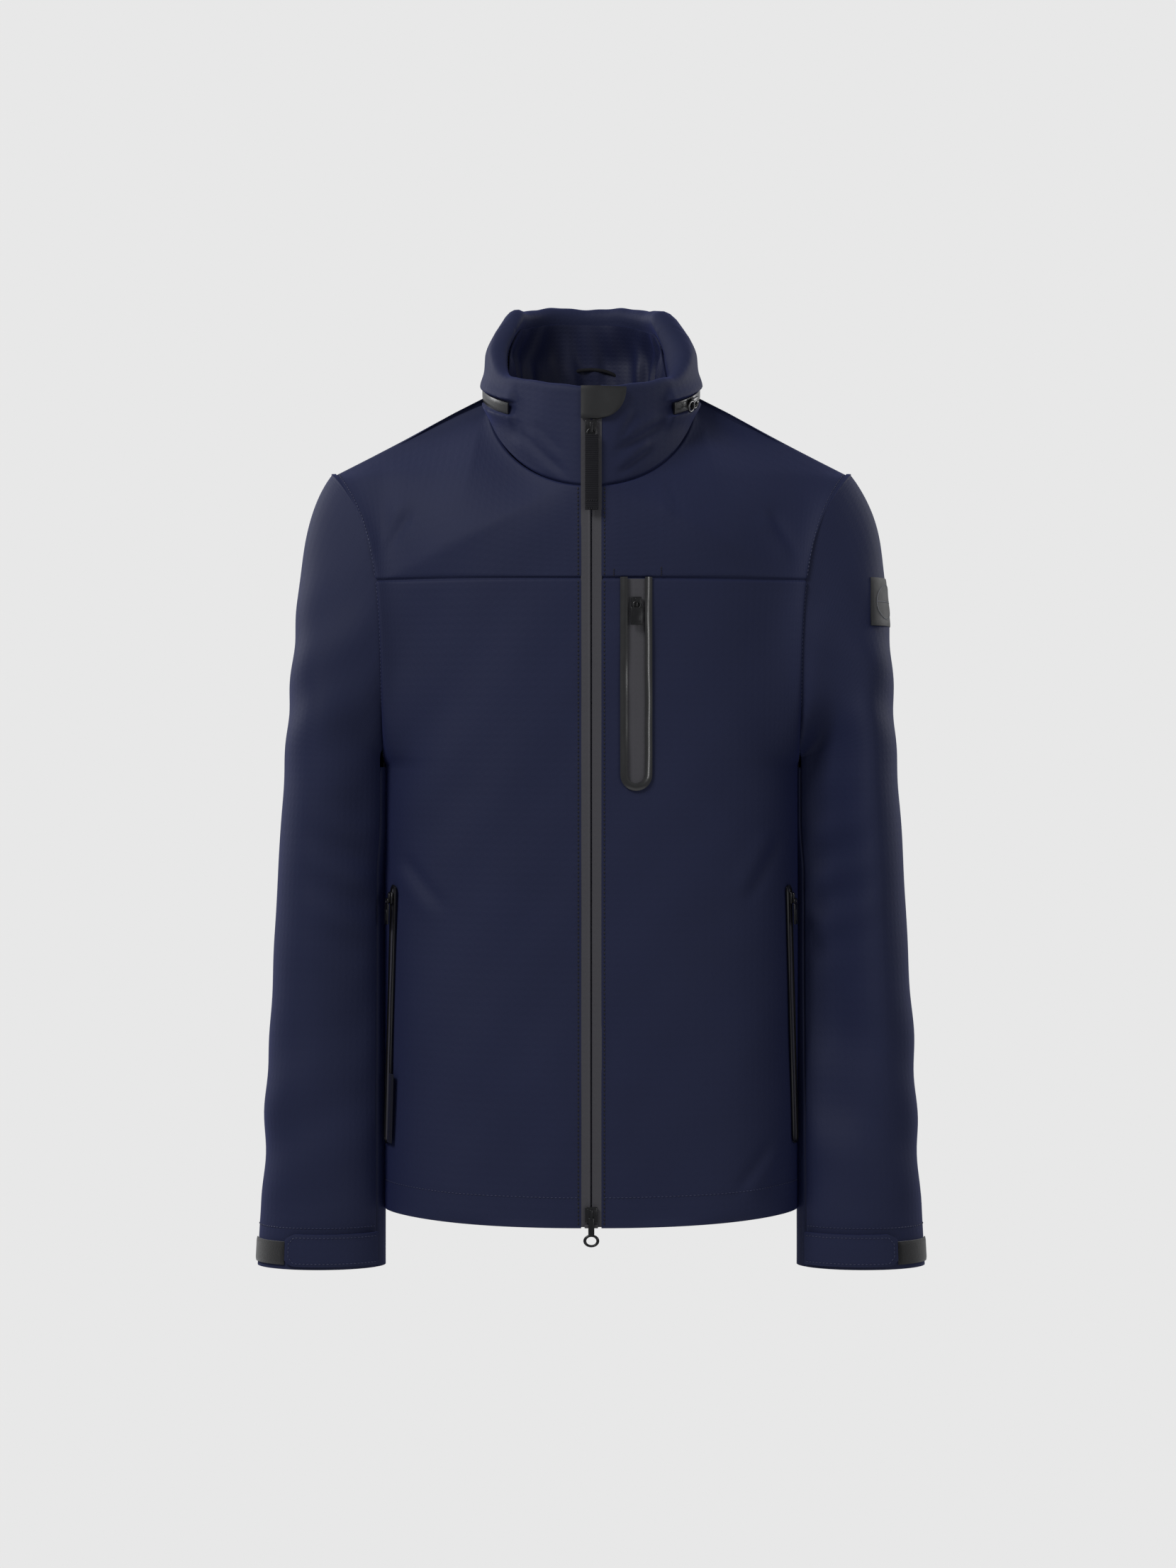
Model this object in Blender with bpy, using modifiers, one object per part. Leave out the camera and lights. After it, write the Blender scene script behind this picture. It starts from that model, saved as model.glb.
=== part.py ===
"""A foul weather jacket, filled out as if worn, arms hanging. Metres, +Z up.

The jacket faces -Y and the wearer's left is +X. The origin is inside the back of the neck, at the
hanger loop that holds the jacket up. Fabric panels are thin closed shells laid on a few smooth
surfaces: the body, the sleeves and the collar. Neighbouring panels keep a seam gap.
"""

import math

import bmesh
import bpy
from mathutils import Matrix, Vector

# Overall form
SIDE_HALF = 0.1805            # body, half width under the arms
SHOULDER_HALF = 0.2275        # neck centre to the end of the shoulder
SHOULDER_Z = -0.069           # height of the end of the shoulder
ARMPIT_Z = -0.320
HEM_Z = -0.715
FRONT_DEPTH = 0.100           # mid plane to the zip line
BACK_DEPTH = 0.108
MID_Y = -0.012                # plane of the shoulder and side seams
ARM_DEPTH = 0.064             # armhole, half depth front to back
YOKE_Z = -0.1635              # seam across the chest
BACK_YOKE_Z = -0.165
HEM_BAND = 0.028              # height of the stitched hem

# Neck and collar
NECK_HALF = 0.0913            # half width of the neck, and of the collar
NECK_DEPTH = 0.0864           # half depth of the collar
FRONT_NECK_Z = -0.0855        # neck seam at the zip
BACK_NECK_Z = 0.012
COLLAR_FRONT_TOP = -0.0010
COLLAR_SIDE_TOP = 0.0130
COLLAR_BACK_TOP = 0.0860
COLLAR_LEAN = 0.15            # how far the back of the collar leans in, as a share
COLLAR_WALL = 0.012           # outer face to lining face
HOOD_ROOM = 0.0020            # between the rolled hood and the collar's two faces
NECK_SEAM = 0.0020            # the collar's lower edge stands this far above the neck seam

# Sleeves
SLEEVE_GAP = 0.0020           # clearance from the body to the sleeve
ARMHOLE_GAP = 0.0030          # clearance along the armhole seam
CUFF_Z = -0.757
CUFF_BAND = 0.024
CUFF_DEPTH = 0.045

# Cloth
CLOTH = 0.0022                # outer shell
LINING = 0.0014
SEAM_GAP = 0.0008             # between two panels that share a seam
CLEARANCE = 0.0005            # between a piece and what it lies on

# Main zip
ZIP_TAPE = 0.0072             # width of each tape that shows
ZIP_TEETH_GAP = 0.0011
ZIP_THICK = 0.0018
SLIDER_WIDTH = 0.0115
SLIDER_LENGTH = 0.0150
PULL_LENGTH = 0.070
PULL_WIDTH = 0.0115

# Collar zip: a ring that tilts down towards the front
RING_Z = 0.0035
RING_TILT = math.atan(0.335)
RING_BAND = 0.0100
RING_END = math.radians(49)

# Chest pocket
CHEST_X = 0.0380
CHEST_TOP = -0.1660
CHEST_LENGTH = 0.1785
CHEST_WIDTH = 0.0277

# Hand pockets
POCKET_TOP = Vector((0.1690, 0.0, -0.4250))
POCKET_END = Vector((0.1755, 0.0, -0.6500))

# Small hardware
SLIDER_TOP_Z = -0.0370        # rest height of the top slider
LOWER_SLIDER_Z = HEM_Z + 0.0115
SLIDER_PLATE = 0.0026
PULL_THICK = 0.0018
PULL_TOP = 0.0014             # how far a pull reaches above its hinge
GARAGE_STAND = 0.0036        # outer face of the zip garage, off the collar
RING_HOLE = 0.0078
POCKET_PLATE = 0.0012
CUFF_LAY = 0.0006             # clearance of the pieces laid on a sleeve
TAB_TURN = (60.0, 148.0)      # degrees round the cuff, from its free end to its sewn end
LOOP_RADIUS = 0.0016
LOOP_HALF = 0.026
LOOP_Z = 0.019                # height of the loop's two sewn ends
LOOP_RISE = 0.012
LOOP_BULGE = 0.0070           # how far the loop stands forward of its ends
LOOP_STAND = 0.0009


def clear_scene():
    for old in list(bpy.data.objects):
        bpy.data.objects.remove(old, do_unlink=True)


def material(name, colour, roughness, metallic=0.0):
    made = bpy.data.materials.new(name)
    made.use_nodes = True
    shader = made.node_tree.nodes["Principled BSDF"]
    shader.inputs["Base Color"].default_value = (*colour, 1.0)
    shader.inputs["Roughness"].default_value = roughness
    shader.inputs["Metallic"].default_value = metallic
    return made


def smooth(t):
    t = min(1.0, max(0.0, t))
    return t * t * (3.0 - 2.0 * t)


def mix(a, b, t):
    return a + (b - a) * t


clear_scene()
jacket = bpy.data.collections.new("foul_weather_jacket")
bpy.context.scene.collection.children.link(jacket)

NAVY = material("shell_cloth", (0.010, 0.017, 0.040), 0.72)
LINED = material("lining_cloth", (0.012, 0.018, 0.036), 0.80)
TAPE = material("laminated_tape", (0.016, 0.017, 0.020), 0.55)
GLOSS = material("gloss_film", (0.020, 0.022, 0.026), 0.22)
METAL = material("black_metal", (0.020, 0.020, 0.022), 0.35, 1.0)
WEBBING = material("webbing", (0.008, 0.008, 0.009), 0.85)
HOOKS = material("hook_and_loop", (0.006, 0.006, 0.007), 0.95)
BADGE = material("badge_rubber", (0.015, 0.015, 0.017), 0.50)


def finish(name, mesh, finish_material, angle=40.0):
    """Puts a mesh in the jacket's collection under its node's name."""
    made = bpy.data.objects.new(name, mesh)
    mesh.materials.append(finish_material)
    mesh.shade_smooth()
    mesh.set_sharp_from_angle(angle=math.radians(angle))
    jacket.objects.link(made)
    return made


def shell(name, shape, columns, rows, thickness, finish_material, keep=None, mirrored=False):
    """A closed shell: shape(u, v) gives its outer face, and the inner face lies behind it.

    keep, where it is given, moves an inner point back to its own side of a seam. A mirrored shell
    is the same piece on the wearer's right.
    """
    def point(u, v):
        if not mirrored:
            return shape(u, v)
        here = shape(1 - u, v)
        here.x = -here.x
        return here

    step = 1e-3
    outer, inner = [], []
    for j in range(rows + 1):
        for i in range(columns + 1):
            u, v = i / columns, j / rows
            here = point(u, v)
            along = point(min(1.0, u + step), v) - point(max(0.0, u - step), v)
            up = point(u, min(1.0, v + step)) - point(u, max(0.0, v - step))
            normal = along.cross(up).normalized()
            behind = here - normal * thickness
            outer.append(here)
            inner.append(keep(behind, here) if keep else behind)
    bm = bmesh.new()
    front = [bm.verts.new(p) for p in outer]
    back = [bm.verts.new(p) for p in inner]
    wide = columns + 1

    def quad(a, b, c, d):
        bm.faces.new((a, b, c, d))

    for j in range(rows):
        for i in range(columns):
            k = j * wide + i
            quad(front[k], front[k + 1], front[k + wide + 1], front[k + wide])
            quad(back[k], back[k + wide], back[k + wide + 1], back[k + 1])
    for i in range(columns):
        top = rows * wide + i
        quad(front[i], back[i], back[i + 1], front[i + 1])
        quad(front[top], front[top + 1], back[top + 1], back[top])
    for j in range(rows):
        low, high = j * wide, (j + 1) * wide
        quad(front[low], front[high], back[high], back[low])
        quad(front[low + columns], back[low + columns], back[high + columns], front[high + columns])
    mesh = bpy.data.meshes.new(name)
    bm.to_mesh(mesh)
    bm.free()
    return finish(name, mesh, finish_material)


def edge_x(z):
    """Half width of the body: its side below the arms, the armhole above, then the shoulder."""
    if z <= ARMPIT_Z:
        return SIDE_HALF
    if z <= SHOULDER_Z:
        rise = (z - ARMPIT_Z) / (SHOULDER_Z - ARMPIT_Z)
        return mix(SIDE_HALF, SHOULDER_HALF, rise ** 5)
    return mix(SHOULDER_HALF, NECK_HALF, (z - SHOULDER_Z) / -SHOULDER_Z)


def edge_depth(z):
    """How far the armhole stands off the mid plane."""
    if not ARMPIT_Z < z < SHOULDER_Z:
        return 0.0
    rise = (z - ARMPIT_Z) / (SHOULDER_Z - ARMPIT_Z)
    return ARM_DEPTH * math.sqrt(max(0.0, 1.0 - (2.0 * rise - 1.0) ** 2))


def ridge_z(x):
    return SHOULDER_Z * (abs(x) - NECK_HALF) / (SHOULDER_HALF - NECK_HALF)


def back_depth(z):
    """The back hollows a little at the waist and fills at the shoulder blades."""
    waist = math.exp(-((z + 0.46) / 0.12) ** 2)
    return BACK_DEPTH - 0.012 * waist


def body_depth(x, z, back):
    full = back_depth(z) if back else FRONT_DEPTH
    side = edge_depth(z)
    drop = max(0.0, ridge_z(x) - z)
    fall = math.sqrt(min(1.0, drop / 0.12))
    across = max(0.0, 1.0 - min(1.0, abs(x) / edge_x(z)) ** 2.5) ** 0.46
    return side + (full * fall - side) * across if drop > 0 else 0.0


def neck_curve(x, back):
    """Height of the neck seam at x, front or back."""
    bow = math.sqrt(max(0.0, 1.0 - (x / NECK_HALF) ** 2))
    return (BACK_NECK_Z if back else FRONT_NECK_Z) * bow


def body_point(x, z, back, inset=0.0):
    depth = body_depth(x, z, back) + SEAM_GAP / 2
    return Vector((x, MID_Y + depth if back else MID_Y - depth, z - inset))


def keep_side(back, side):
    """Keeps a panel's inner face on its own side of the side and shoulder seams and the zip."""
    def keep(behind, here):
        limit = MID_Y + SEAM_GAP / 2 if back else MID_Y - SEAM_GAP / 2
        behind.y = max(behind.y, limit) if back else min(behind.y, limit)
        if side and abs(here.x) < 0.02:
            behind.x = here.x
        return behind
    return keep


def band_panel(name, side, back, low, high, inner_x, rows, columns=10):
    """A panel of the body between two heights, from inner_x out to the side seam or armhole."""
    def point(u, v):
        z = mix(low, high, v)
        outer = edge_x(z) - (SEAM_GAP if z > ARMPIT_Z else 0.0)
        if side:
            x = mix(inner_x, outer, math.sin(u * math.pi / 2))
        else:
            x = outer * math.sin((0.5 - u) * math.pi)
        return body_point(x, z, back)
    return shell(name, point, columns, rows, CLOTH, NAVY, keep_side(back, side), side < 0)


def yoke_point(u, v, inner_x, low, back):
    """From the yoke seam up to the neck and shoulder seams."""
    split = 0.45
    bottom_x = mix(inner_x, edge_x(low), math.sin(u * math.pi / 2))
    if u < split:
        turn = mix(math.asin(inner_x / NECK_HALF), math.pi / 2, u / split)
        top_x = NECK_HALF * math.sin(turn)
        top_z = neck_curve(top_x, back) - SEAM_GAP
    else:
        top_x = mix(NECK_HALF + SEAM_GAP, SHOULDER_HALF, (u - split) / (1 - split))
        top_z = min(ridge_z(top_x), -SEAM_GAP)
    z = mix(low, top_z, v)
    x = mix(bottom_x, top_x, v)
    end_z = mix(low, SHOULDER_Z, v)
    straight = mix(edge_x(low), SHOULDER_HALF, v)
    x += (edge_x(end_z) - straight) * u ** 6 - SEAM_GAP * u ** 8
    here = body_point(x, z, back)
    collar_y = NECK_DEPTH * math.sqrt(max(0.0, 1 - (top_x / NECK_HALF) ** 2)) if u < split else 0.0
    if not back:
        collar_y += (FRONT_DEPTH - NECK_DEPTH) * (collar_y / NECK_DEPTH) ** 8
    collar_y += SEAM_GAP / 2
    pull = v ** 4
    target = MID_Y + collar_y if back else MID_Y - collar_y
    here.y = mix(here.y, target, pull)
    return here


def front_panels():
    for side, word in ((1, "left"), (-1, "right")):
        zip_edge = ZIP_TAPE + ZIP_TEETH_GAP / 2 + SEAM_GAP
        top = YOKE_Z - SEAM_GAP / 2
        band = HEM_Z + HEM_BAND
        band_panel("front_panel_" + word, side, False, band + SEAM_GAP, top, zip_edge, 8)
        band_panel("hem_front_" + word, side, False, HEM_Z, band, zip_edge, 1)

        def point(u, v):
            return yoke_point(u, v, zip_edge, YOKE_Z + SEAM_GAP / 2, False)
        shell("front_yoke_" + word, point, 12, 7, CLOTH, NAVY, keep_side(False, side), side < 0)


def back_panels():
    band = HEM_Z + HEM_BAND
    band_panel("back_panel", 0, True, band + SEAM_GAP, BACK_YOKE_Z - SEAM_GAP / 2, 0.0, 9, 16)
    band_panel("hem_back", 0, True, HEM_Z, band, 0.0, 1, 16)

    def point(u, v):
        half = abs(2 * u - 1)
        here = yoke_point(half, v, 0.0, BACK_YOKE_Z + SEAM_GAP / 2, True)
        if u > 0.5:
            here.x = -here.x
        return here
    shell("back_yoke", point, 24, 7, CLOTH, NAVY, keep_side(True, 0))


def sleeve_silhouette(z):
    """Outer edge of the sleeve, seen from the front."""
    drop = SHOULDER_Z - z
    return SHOULDER_HALF + 0.020 * (1 - math.exp(-drop / 0.03)) + 0.042 * (drop / 0.687) ** 0.85


def sleeve_ring(height, phi):
    """A point of the sleeve's outer face. height is that of the outer silhouette there; phi turns
    from the outer side, over the front, to the side against the body."""
    outer = Vector((sleeve_silhouette(height) + ARMHOLE_GAP, 0.0, height))
    near = SIDE_HALF + SLEEVE_GAP
    gone = min(1.0, (SHOULDER_Z - height) / (SHOULDER_Z - ARMPIT_Z))
    inner = Vector((near, 0.0, min(height, ARMPIT_Z - 0.012 * gone)))
    q = 0.5 + 0.5 * math.cos(phi)
    armhole_z = mix(ARMPIT_Z, SHOULDER_Z, q)
    hollow = mix(SIDE_HALF, SHOULDER_HALF, q) - edge_x(armhole_z)
    spot = inner.lerp(outer, q)
    spot.x -= hollow * (1 - smooth(gone * 1.5))
    below = min(1.0, max(0.0, (ARMPIT_Z - height) / (ARMPIT_Z - CUFF_Z)))
    depth = mix(ARM_DEPTH, ARM_DEPTH + 0.006, smooth(gone)) - (ARM_DEPTH + 0.006 - CUFF_DEPTH) * below
    spot.y = MID_Y - depth * math.sin(phi) - 0.006 * below
    return spot


def sleeves():
    seam_turn = math.radians(152)
    gap_turn = math.radians(1.2)
    top = SHOULDER_Z - 0.0016
    low = CUFF_Z + CUFF_BAND
    for side, word in ((1, "left"), (-1, "right")):
        def panel(name, start, end, first, last, columns, rows, side=side):
            def point(u, v):
                return sleeve_ring(mix(first, last, v ** 1.5), mix(start, end, u))
            return shell(name, point, columns, rows, CLOTH, NAVY, mirrored=side < 0)
        panel("sleeve_" + word, -seam_turn, seam_turn, top, low + SEAM_GAP, 18, 14)
        panel("sleeve_under_" + word, seam_turn + gap_turn, 2 * math.pi - seam_turn - gap_turn,
              ARMPIT_Z - 0.030, low + SEAM_GAP, 3, 6)
        panel("cuff_band_" + word, math.radians(-179), math.radians(179), low, CUFF_Z, 22, 1)




def collar_lean(z):
    return 1.0 - COLLAR_LEAN * smooth((z - 0.034) / 0.045)


def collar_top(turn):
    """Height of the collar's rim; turn is 0 at the zip and pi at the back."""
    turn = min(abs(turn), 2 * math.pi - abs(turn))
    first = smooth(turn / math.radians(60))
    rise = smooth((turn - math.radians(58)) / math.radians(70))
    return mix(mix(COLLAR_FRONT_TOP, COLLAR_SIDE_TOP, first), COLLAR_BACK_TOP, rise)


def collar_base(turn):
    bow = math.cos(turn)
    return FRONT_NECK_Z * bow if bow > 0 else -BACK_NECK_Z * bow


def collar_point(turn, z, inset):
    """A point of the collar at one turn and height, inset from its outer face."""
    lean = collar_lean(z)
    wide = NECK_HALF * lean - inset
    deep = NECK_DEPTH * lean - inset
    nose = (FRONT_DEPTH - NECK_DEPTH) * max(0.0, math.cos(turn)) ** 8
    return Vector((wide * math.sin(turn), MID_Y - deep * math.cos(turn) - nose, z))


def collar_wall(name, start, end, columns, rows, inset, thickness, cloth, low=0.0, high=0.0):
    """A stretch of collar wall from one turn to another, raised by low and cut short by high."""
    def point(u, v):
        turn = mix(start, end, u)
        z = mix(collar_base(turn) + NECK_SEAM + low, collar_top(turn) - high, v)
        return collar_point(turn, z, inset)
    return shell(name, point, columns, rows, thickness, cloth)


def collar():
    front = math.asin((ZIP_TAPE + ZIP_TEETH_GAP / 2 + SEAM_GAP) / NECK_HALF)
    side = math.radians(90)
    slit = SEAM_GAP / NECK_HALF
    back_start, back_end = side + slit, 2 * math.pi - side - slit
    lining_inset = COLLAR_WALL - LINING
    hood_inset = CLOTH + HOOD_ROOM
    hood_thick = lining_inset - hood_inset - HOOD_ROOM
    collar_wall("collar_front_left", front, side, 8, 5, 0.0, CLOTH, NAVY)
    collar_wall("collar_front_right", -side, -front, 8, 5, 0.0, CLOTH, NAVY)
    collar_wall("collar_back", back_start, back_end, 16, 5, 0.0, CLOTH, NAVY)
    collar_wall("stowed_hood", math.radians(64), math.radians(296), 18, 4, hood_inset, hood_thick,
                NAVY, 0.006, 0.006)
    collar_wall("collar_lining", front, 2 * math.pi - front, 28, 5, lining_inset, LINING, LINED)


def ring_frame(turn, stand):
    """Matrix of a piece on the collar zip: its -Y points out, its X runs along the ring."""
    centre = Matrix.Translation((0.0, MID_Y, RING_Z)) @ Matrix.Rotation(RING_TILT, 4, "X")
    return centre @ Matrix.Rotation(turn, 4, "Z") @ Matrix.Translation((0.0, -stand, 0.0))


def box_at(name, size, place, finish_material, round_by=0.0, sides=2):
    """A rounded box about its own origin, put in place by a matrix."""
    bm = bmesh.new()
    bmesh.ops.create_cube(bm, size=1.0, matrix=Matrix.Diagonal((*size, 1.0)))
    mesh = bpy.data.meshes.new(name)
    bm.to_mesh(mesh)
    bm.free()
    made = finish(name, mesh, finish_material)
    made.matrix_world = place
    if round_by:
        bevel = made.modifiers.new("Rounded", "BEVEL")
        bevel.width = round_by
        bevel.segments = sides
    return made


def collar_zip():
    """The zip that lets the hood out of the collar: tape, slider and pull."""
    centre = Matrix.Translation((0.0, MID_Y, RING_Z)) @ Matrix.Rotation(RING_TILT, 4, "X")
    reach = NECK_HALF + CLEARANCE + math.sin(RING_TILT) * RING_BAND / 2

    def point(u, v):
        turn = mix(RING_END, 2 * math.pi - RING_END, u)
        radius = reach + ZIP_THICK
        spot = Vector((radius * math.sin(turn), -radius * math.cos(turn), (v - 0.5) * RING_BAND))
        return centre @ spot
    shell("collar_zip_tape", point, 36, 1, ZIP_THICK, TAPE)

    face = reach + ZIP_THICK + CLEARANCE
    turn = RING_END + 0.6 * SLIDER_LENGTH / reach + 0.020 / reach
    body = ring_frame(turn, face + SLIDER_PLATE / 2 + CLEARANCE)
    box_at("collar_zip_slider", (SLIDER_LENGTH, SLIDER_PLATE, RING_BAND), body, METAL, 0.0008)
    lie = face + SLIDER_PLATE + 2 * CLEARANCE + 0.0010 + PULL_THICK / 2
    hinge = ring_frame(turn, lie) @ Matrix.Translation((-SLIDER_LENGTH * 0.25, 0.0, 0.0))
    pull_at("collar_zip_pull", hinge @ Matrix.Rotation(math.radians(90), 4, "Y"), 0.0085, 0.026, METAL)


def pull_at(name, hinge, width, length, finish_material):
    """A flat pull whose own origin is its hinge; it hangs along the hinge matrix's -Z."""
    bm = bmesh.new()
    size = Matrix.Diagonal((width, PULL_THICK, length, 1.0))
    drop = Matrix.Translation((0.0, 0.0, PULL_TOP - length / 2))
    bmesh.ops.create_cube(bm, size=1.0, matrix=drop @ size)
    mesh = bpy.data.meshes.new(name)
    bm.to_mesh(mesh)
    bm.free()
    made = finish(name, mesh, finish_material)
    made.matrix_world = hinge
    bevel = made.modifiers.new("Rounded", "BEVEL")
    bevel.width = PULL_THICK * 0.35
    bevel.segments = 1
    return made


def outline_plate(name, outline, hole, thick, place, finish_material):
    """A flat plate cut to an outline with a hole, both lists of (x, z), facing -Y."""
    curve = bpy.data.curves.new(name + "_outline", "CURVE")
    curve.dimensions = "2D"
    curve.fill_mode = "BOTH"
    curve.extrude = thick / 2
    for loop in (outline, hole):
        line = curve.splines.new("POLY")
        line.points.add(len(loop) - 1)
        line.use_cyclic_u = True
        for spot, (x, z) in zip(line.points, loop):
            spot.co = (x, z, 0.0, 1.0)
    guide = bpy.data.objects.new(name + "_outline", curve)
    bpy.context.scene.collection.objects.link(guide)
    graph = bpy.context.evaluated_depsgraph_get()
    mesh = bpy.data.meshes.new_from_object(guide.evaluated_get(graph))
    bpy.data.objects.remove(guide)
    bm = bmesh.new()
    bm.from_mesh(mesh)
    bmesh.ops.remove_doubles(bm, verts=bm.verts, dist=1e-6)
    bm.to_mesh(mesh)
    bm.free()
    mesh.name = name
    mesh.materials.clear()
    made = finish(name, mesh, finish_material)
    made.matrix_world = place @ Matrix.Rotation(math.radians(90), 4, "X")
    return made


def arc(centre_x, centre_z, radius, start, end, steps):
    turns = (math.radians(mix(start, end, k / steps)) for k in range(steps + 1))
    return [(centre_x + radius * math.cos(t), centre_z + radius * math.sin(t)) for t in turns]


def stadium(width, high, low, round_top):
    """An upright outline with a round lower end, and a round or a square top."""
    half = width / 2
    points = arc(0.0, low + half, half, 180, 360, 8)
    return points + (arc(0.0, high - half, half, 0, 180, 8) if round_top else [(half, high), (-half, high)])


def h_slider(name, centre_z):
    """A slider that grips both tapes: a plate before them, one behind, and a post between."""
    half, post = SLIDER_WIDTH / 2, ZIP_TEETH_GAP / 2 - 0.0003
    before, behind = -CLEARANCE, ZIP_THICK + CLEARANCE
    plate, rear = SLIDER_PLATE, 0.0010
    right = [(half, before - plate), (half, before), (post, before), (post, behind),
             (half, behind), (half, behind + rear)]
    profile = right + [(-x, y) for x, y in reversed(right)]
    bm = bmesh.new()
    low = [bm.verts.new((x, y, -SLIDER_LENGTH / 2)) for x, y in profile]
    face = bm.faces.new(low)
    made = bmesh.ops.extrude_face_region(bm, geom=[face])
    top = [v for v in made["geom"] if isinstance(v, bmesh.types.BMVert)]
    bmesh.ops.translate(bm, verts=top, vec=(0.0, 0.0, SLIDER_LENGTH))
    bmesh.ops.recalc_face_normals(bm, faces=bm.faces)
    mesh = bpy.data.meshes.new(name)
    bm.to_mesh(mesh)
    bm.free()
    slider = finish(name, mesh, METAL)
    slider.location = (0.0, MID_Y - FRONT_DEPTH, centre_z)
    return slider


def main_zip():
    """Both tapes, the two sliders and their pulls, the pin box, the garage and the wind flap."""
    front_y = MID_Y - FRONT_DEPTH
    top, low = COLLAR_FRONT_TOP - 0.001, HEM_Z + 0.001
    for side, word in ((1, "left"), (-1, "right")):
        x = side * (ZIP_TEETH_GAP + ZIP_TAPE) / 2
        place = Matrix.Translation((x, front_y + ZIP_THICK / 2, (top + low) / 2))
        box_at("main_zip_tape_" + word, (ZIP_TAPE, ZIP_THICK, top - low), place, TAPE)
    h_slider("main_zip_slider", SLIDER_TOP_Z)
    h_slider("lower_zip_slider", LOWER_SLIDER_Z)
    pull_y = front_y - CLEARANCE - SLIDER_PLATE - 0.0010 - PULL_THICK / 2
    hinge = Matrix.Translation((0.0, pull_y, SLIDER_TOP_Z - 0.001))
    pull_at("main_zip_pull", hinge, PULL_WIDTH, PULL_LENGTH, WEBBING)
    radius = 0.0066
    ring_z = PULL_TOP - 0.026
    neck = 0.0042
    open_turn = math.degrees(math.acos(neck / radius))
    outline = arc(0.0, ring_z, radius, 180 - open_turn, 360 + open_turn, 18)
    outline += [(neck, PULL_TOP), (-neck, PULL_TOP)]
    ring_hinge = Matrix.Translation((0.0, pull_y, LOWER_SLIDER_Z - 0.001))
    outline_plate("lower_zip_ring", outline, arc(0.0, ring_z, RING_HOLE / 2, 0, 330, 11),
                  PULL_THICK, ring_hinge, METAL)
    box_place = Matrix.Translation((0.0, front_y - CLEARANCE - 0.0012, HEM_Z + 0.0018))
    box_at("zip_pin_box", (SLIDER_WIDTH, 0.0024, 0.0030), box_place, TAPE, 0.0004, 1)

    def garage(u, v):
        z = mix(COLLAR_FRONT_TOP, SLIDER_TOP_Z + SLIDER_LENGTH / 2 + 0.0008, v)
        bow = 0.20 + 0.80 * math.sqrt(max(0.0, 1.0 - v ** 2.2))
        x = mix(-0.0085, 0.0290 * bow, u)
        return collar_point(math.asin(x / NECK_HALF), z, -GARAGE_STAND)
    shell("zip_garage", lambda u, v: garage(u, 1 - v), 8, 5, 0.0016, TAPE)
    flap_high, flap_low = FRONT_NECK_Z - 0.034, HEM_Z + 0.006
    flap_y = front_y + ZIP_THICK + 2 * CLEARANCE + 0.0022 + LINING / 2
    flap = Matrix.Translation((0.0, flap_y, (flap_high + flap_low) / 2))
    box_at("storm_flap", (0.036, LINING, flap_high - flap_low), flap, LINED)


def surface_frame(x, z, stand):
    """A frame on the front of the body: its -Y points out, its Z runs up."""
    here = body_point(x, z, False)
    out = (body_point(x + 0.004, z, False) - body_point(x - 0.004, z, False)).normalized()
    normal = Vector((out.y, -out.x, 0.0))
    frame = Matrix((out, -normal, Vector((0.0, 0.0, 1.0)))).transposed().to_4x4()
    frame.translation = here + normal * stand
    return frame


def line_frame(top, end, stand):
    """A frame whose Z runs from a low point of the body up to a high one, at their middle."""
    high = body_point(top.x, top.z, False)
    low = body_point(end.x, end.z, False)
    across = surface_frame((top.x + end.x) / 2, (top.z + end.z) / 2, 0.0)
    up = (high - low).normalized()
    normal = -across.col[1].to_3d()
    normal = (normal - up * normal.dot(up)).normalized()
    along = up.cross(normal)
    frame = Matrix((along, -normal, up)).transposed().to_4x4()
    frame.translation = (high + low) / 2 + normal * stand
    return frame, (high - low).length


def pocket_zip(names, frame, width, slot, length, pull_width, pull_length, square_top):
    """A zipped pocket mouth about a frame at its middle: frame, tape, slider and pull."""
    rim = stadium(width, length / 2, -length / 2, not square_top)
    inner = stadium(slot, length / 2 - width * 0.22, -length / 2 + width * 0.24, not square_top)
    outline_plate(names[0], rim, inner, POCKET_PLATE, frame, GLOSS)
    tape_length = length - width * 0.50 - slot * 0.8
    box_at(names[1], (slot - 0.0010, POCKET_PLATE, tape_length), frame, TAPE)
    lift = -POCKET_PLATE / 2 - CLEARANCE - SLIDER_PLATE / 2
    at_top = tape_length / 2 - 0.0060
    size = (pull_width * 0.85, SLIDER_PLATE, 0.0100)
    box_at(names[2], size, frame @ Matrix.Translation((0.0, lift, at_top)), METAL, 0.0007)
    lift -= SLIDER_PLATE / 2 + 0.0010 + PULL_THICK / 2
    hinge = frame @ Matrix.Translation((0.0, lift, at_top))
    pull_at(names[3], hinge, pull_width, pull_length, METAL)


def pocket_bag(name, near_x, far_x, high, low, mirrored):
    behind = CLOTH + 0.0028

    def point(u, v):
        here = body_point(mix(near_x, far_x, u), mix(low, high, v), False)
        here.y += behind
        return here
    shell(name, point, 6, 4, LINING, LINED, None, mirrored)


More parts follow.
